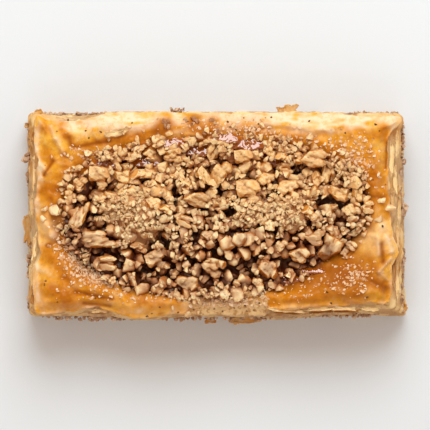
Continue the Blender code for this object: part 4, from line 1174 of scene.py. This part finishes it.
def soakAndShadeGaps(piece, pile, most):    # whatever lies down in the gaps is painted dark: syrup soak together with painted shade
    x, y, z = readPoints(piece).T
    low = smoothStep(3.2 * mm, 0.6 * mm, z - mapAt(pile, "ground", x, y))
    low *= smoothStep(0.98, 0.86, heapShare(x, y))
    atBack, backHalf, bright = smoothStep(9 * mm, 15 * mm, y), backShare(y), mealBed(x, y)
    # painted shade: more in the front half, less on the back half where the light falls, and less in the meal
    # beds
    lower = 0.8 * frontShare(y) - 0.45 * backHalf - 0.8 * bright + 0.6 * smoothStep(-31 * mm, -38 * mm, x)
    depth = mapAt(pile, "level", x, y) - z + lower * mm
    wet = unit(most * smoothStep(0.35 * mm, 1.7 * mm, depth) + 0.4 * low)
    setMasks(piece, amber=backHalf, damp=unit(most * smoothStep(-0.5 * mm, 0.8 * mm, depth) + 0.1 * atBack),
             wet=wet * (1 - 0.6 * atBack) * (1 - 0.25 * backHalf) * (1 - 0.5 * bright))


def makeHeap(kinds, pile):
    rows = fillHeap(pile, np.random.default_rng(heap["seed"]))
    stageDone("heap: " + ", ".join(f"{len(found)} {name}" for name, found in rows.items()))
    pile["level"] = blurred(pile["height"], heap["gapBlur"])
    for group, found in rows.items():
        piece = scatterPieces("walnut" + group.title(), kinds["grain" if group == "meal" else group], found)
        soakAndShadeGaps(piece, pile, {"meal": 0.5, "large": 0.6}.get(group, 1))
        finishPiece(piece, "choppedWalnut", "walnut", "walnut_topping", sharpest=cutAngle)


def makeHeapCore(pile):
    piece, s, t = addGrid("heapCore", heap["coreColumns"], heap["coreRows"])
    x, y = insideHeap(s, t, lambda back: 1.02)
    share, bed = heapShare(x, y), mealBed(x, y)
    rise = coreRise(share)
    z = crustHeight(x, y) + rise + 0.35 * mm * ripple(x, y, 1.6 * mm, 60) * (rise > 0)
    level = mapAt(pile, "level", x, y) - heap["bedDepth"] - 4 * mm * (1 - bed)
    z = np.maximum(z - 0.5 * mm * (share > 1), level)
    z += bed * ripples(x, y, ((0.3 * mm, 1.1 * mm, 62), (0.18 * mm, 0.7 * mm, 63)))
    writePoints(piece, x, y, z)
    # where it shows in the gaps the core is painted dark, syrup together with painted shade; the meal bed
    # gets some painted light on top
    setMasks(piece, tone=mix(0.8, unit(0.35 + 0.6 * ripple(x, y, 1.6 * mm, 64)), bed), skin=0.6 * (1 - bed),
             top=0.5 * bed, damp=0.6 * bed, wet=1 - bed)
    addModifier(piece, "SOLIDIFY", thickness=heap["coreThick"], offset=-1)
    finishPiece(piece, "choppedWalnut", "walnut", "walnut_topping")


def makeSyrup():    # a glossy film round the nuts that sinks into the crust at its outline
    piece, s, t = addGrid("syrupFilm", syrup["columns"], syrup["rows"])

    def edgeAt(back):
        return mix(syrup["edge"], syrup["backEdge"], smoothStep(0.2, 0.7, back))

    x, y = insideHeap(s, t, lambda back: edgeAt(back) + 0.08 + 0.08 * smoothStep(-0.3, -0.6, back))
    edge, atBack = edgeAt(y / heap["half"][1]), smoothStep(8 * mm, 15 * mm, y)
    share = heapShare(x, y) + ripples(x, y, ((0.05, 5 * mm, 72), (0.03, 2 * mm, 73)))
    inside = smoothStep(edge, edge - 0.09, share)
    deep = smoothStep(edge - 0.1, edge - 0.28, share)
    wave = ripples(x, y, syrup["waves"])
    sunk = syrup["sunk"] * smoothStep(edge + 0.02, edge + 0.07, share)
    film = mix(-0.25 * mm, syrup["film"], inside) - sunk
    z = crustHeight(x, y) + film + wave * np.maximum(inside, 0.2) * (1 - 0.7 * deep)
    wave = wave + ripples(x, y, syrup["poolWaves"])
    pooled = 0
    for near, level in poolAt(x, y):
        near = smoothStep(0.1, 0.4, near + 0.26 * ripple(x, y, 1.6 * mm, 75) * (near > 0.02))
        z = mix(z, np.maximum(z, level + wave), near)
        pooled = np.maximum(pooled, near)
    writePoints(piece, x, y, z)
    soaked = smoothStep(edge + 0.01, edge - 0.16, share) * (1 - 0.6 * atBack)
    setMasks(piece, glossy=pooled, depth=np.maximum(soaked, 0.7 * pooled),
             deep=deep * (1 - 0.6 * pooled) * (1 - 0.55 * atBack))
    addModifier(piece, "SOLIDIFY", thickness=syrup["thick"], offset=-1)
    finishPiece(piece, "amberSyrup", "syrup", "walnut_topping")


def makeCrumbs(kinds):    # pale crumbs, dark specks and stray nuts that lie on the crust
    draw = np.random.default_rng(crumbs["seed"])

    def leanBy(most):
        return draw.uniform(-most, most), draw.uniform(-most, most), draw.uniform(0, fullTurn)

    places = []
    for px, py, across, along, count in crumbs["zones"]:
        clustered = across < crumbs["widest"]
        spread = draw.normal(0, 1, (count, 2)) if clustered else draw.uniform(-1, 1, (count, 2))
        places.append(((px, py) + np.array((across, along)) * spread) * photoMm)
    x, y = np.concatenate(places).T
    left, right, front, back = mixEdges(layers["rim"], layers["rim"], 0, -1 * mm)
    inside = (x > left) & (x < right) & (y > front) & (y < back) & (heapShare(x, y) > crumbs["fromHeap"])
    x, y = x[inside], y[inside]
    rows = []
    for at, (px, py, pz) in enumerate(zip(x, y, crustSurface(x, y))):
        length = mix(*crumbs["size"], draw.random() ** 2.6)
        size = length * np.array((draw.uniform(1, 1.4), draw.uniform(0.6, 1), 0.5))
        rows.append((at, (px, py, pz + size[2] * 0.3), size, leanBy(0.5), draw.random() ** 0.9, 0, 0))
    for at, (px, py) in enumerate(crumbs["specks"]):
        px, py = px * photoMm, py * photoMm
        size = np.array((draw.uniform(0.5, 0.9), draw.uniform(0.4, 0.7), 0.35)) * mm
        place = (px, py, crustAt(px, py) + 0.05 * mm)
        rows.append((at, place, size, (0, 0, draw.uniform(0, fullTurn)), 1, 0, 1))
    piece = scatterPieces("crustCrumbs", kinds["grain"], rows)
    finishPiece(piece, "paleCrumbs", "golden_crust", "top_pastry", sharpest=cutAngle)
    rows = []
    for at, (px, py, length, width, tone, skin) in enumerate(crumbs["rimNuts"]):
        px, py = px * photoMm, py * photoMm
        size = np.array((length, width, width * 0.75)) * mm
        rows.append((at, (px, py, crustAt(px, py) + width * 0.25 * mm), size, leanBy(0.3), min(tone, 0.6),
                     skin + (tone > 1), max(tone - 1, 0) * 0.6))    # above 1 a bit is browned
    piece = scatterPieces("rimNuts", kinds["small"], rows)
    finishPiece(piece, "choppedWalnut", "walnut", "top_pastry", sharpest=cutAngle)


# ---- light, floor and camera ----

studio = {
    "floorSize": 6, "worldColour": (1, 0.87, 0.78, 1),
    "fades": ((0, 0.45, 0.42, 0.76), (0.88, 0.985, 1, 0.12 / 0.76)),    # brightest half way up, dark overhead
    "softKey": {"place": (0.03, 0.4, 0.53), "size": 0.44, "power": 3.2, "colour": (0.83, 0.94, 1)},
    "glints": {"place": (0.05, -0.45, 1.05), "size": 0.14, "power": 0.3, "colour": (1, 1, 1)},
    "cameraHeight": 1.2, "pixelsPerMm": 3.47, "imageSide": 430, "sensor": 36,
    "viewMiddle": (-0.15 * mm, 0), "viewPlane": 3 * mm,
}


def addLight(name, place, size, power, colour):
    bpy.ops.object.light_add(type="AREA", location=place)
    lamp = bpy.context.object
    lamp.name = name
    lamp.data.shape = "DISK"
    lamp.data.size = size
    lamp.data.energy = power
    lamp.data.color = colour
    x, y, z = np.array((0, 0, 0.02)) - np.array(place)    # it shines at the slice
    lamp.rotation_euler = (math.atan2(math.hypot(x, y), -z), 0, math.atan2(x, -y) + math.pi)


def makeWorld():
    world = bpy.data.worlds.new("softRoom")
    bpy.context.scene.world = world
    world.use_nodes = True
    tree = world.node_tree
    up = addNode(tree, "SeparateXYZ", {"Vector": addNode(tree, "TexCoord", {})["Generated"]})["Z"]
    fades = []
    for fromZ, toZ, low, high in studio["fades"]:
        inputs = {"Value": up, "From Min": fromZ, "From Max": toZ, "To Min": low, "To Max": high}
        fades.append(addNode(tree, "MapRange", inputs, interpolation_type="SMOOTHSTEP")["Result"])
    inputs = {"Color": studio["worldColour"], "Strength": maths(tree, "MULTIPLY", *fades)}
    fillInputs(tree, tree.nodes["Background"], inputs)


def makeStudio():
    bpy.ops.object.select_all(action="DESELECT")
    bpy.ops.mesh.primitive_plane_add(size=studio["floorSize"])
    floor = bpy.context.object
    floor.name = "paleFloor"
    floor.data.materials.append(finishes["paleFloor"])
    makeWorld()
    for name in ("softKey", "glints"):
        addLight(name, **studio[name])
    camera = bpy.data.objects.new("camera", bpy.data.cameras.new("camera"))
    bpy.context.scene.collection.objects.link(camera)
    camera.location = (*studio["viewMiddle"], studio["cameraHeight"])
    seen = studio["imageSide"] / studio["pixelsPerMm"] * mm
    camera.data.sensor_width = studio["sensor"]
    camera.data.lens = studio["sensor"] * (studio["cameraHeight"] - studio["viewPlane"]) / seen
    bpy.context.scene.camera = camera
    bpy.context.scene.view_settings.view_transform = "Standard"


makeStudio()
stageDone("studio set")
makeCrust()
stageDone("top crust baked")
makeTopSide()
makeBase()
makeFlakes()
stageDone("flaky sheets laid")
nuts = makeKinds()
stageDone("walnut kinds cut")
makeFilling(nuts)
stageDone("filling pressed")
pile = startPile()
makeHeap(nuts, pile)
makeHeapCore(pile)
makeSyrup()
makeCrumbs(nuts)
stageDone("walnuts heaped")
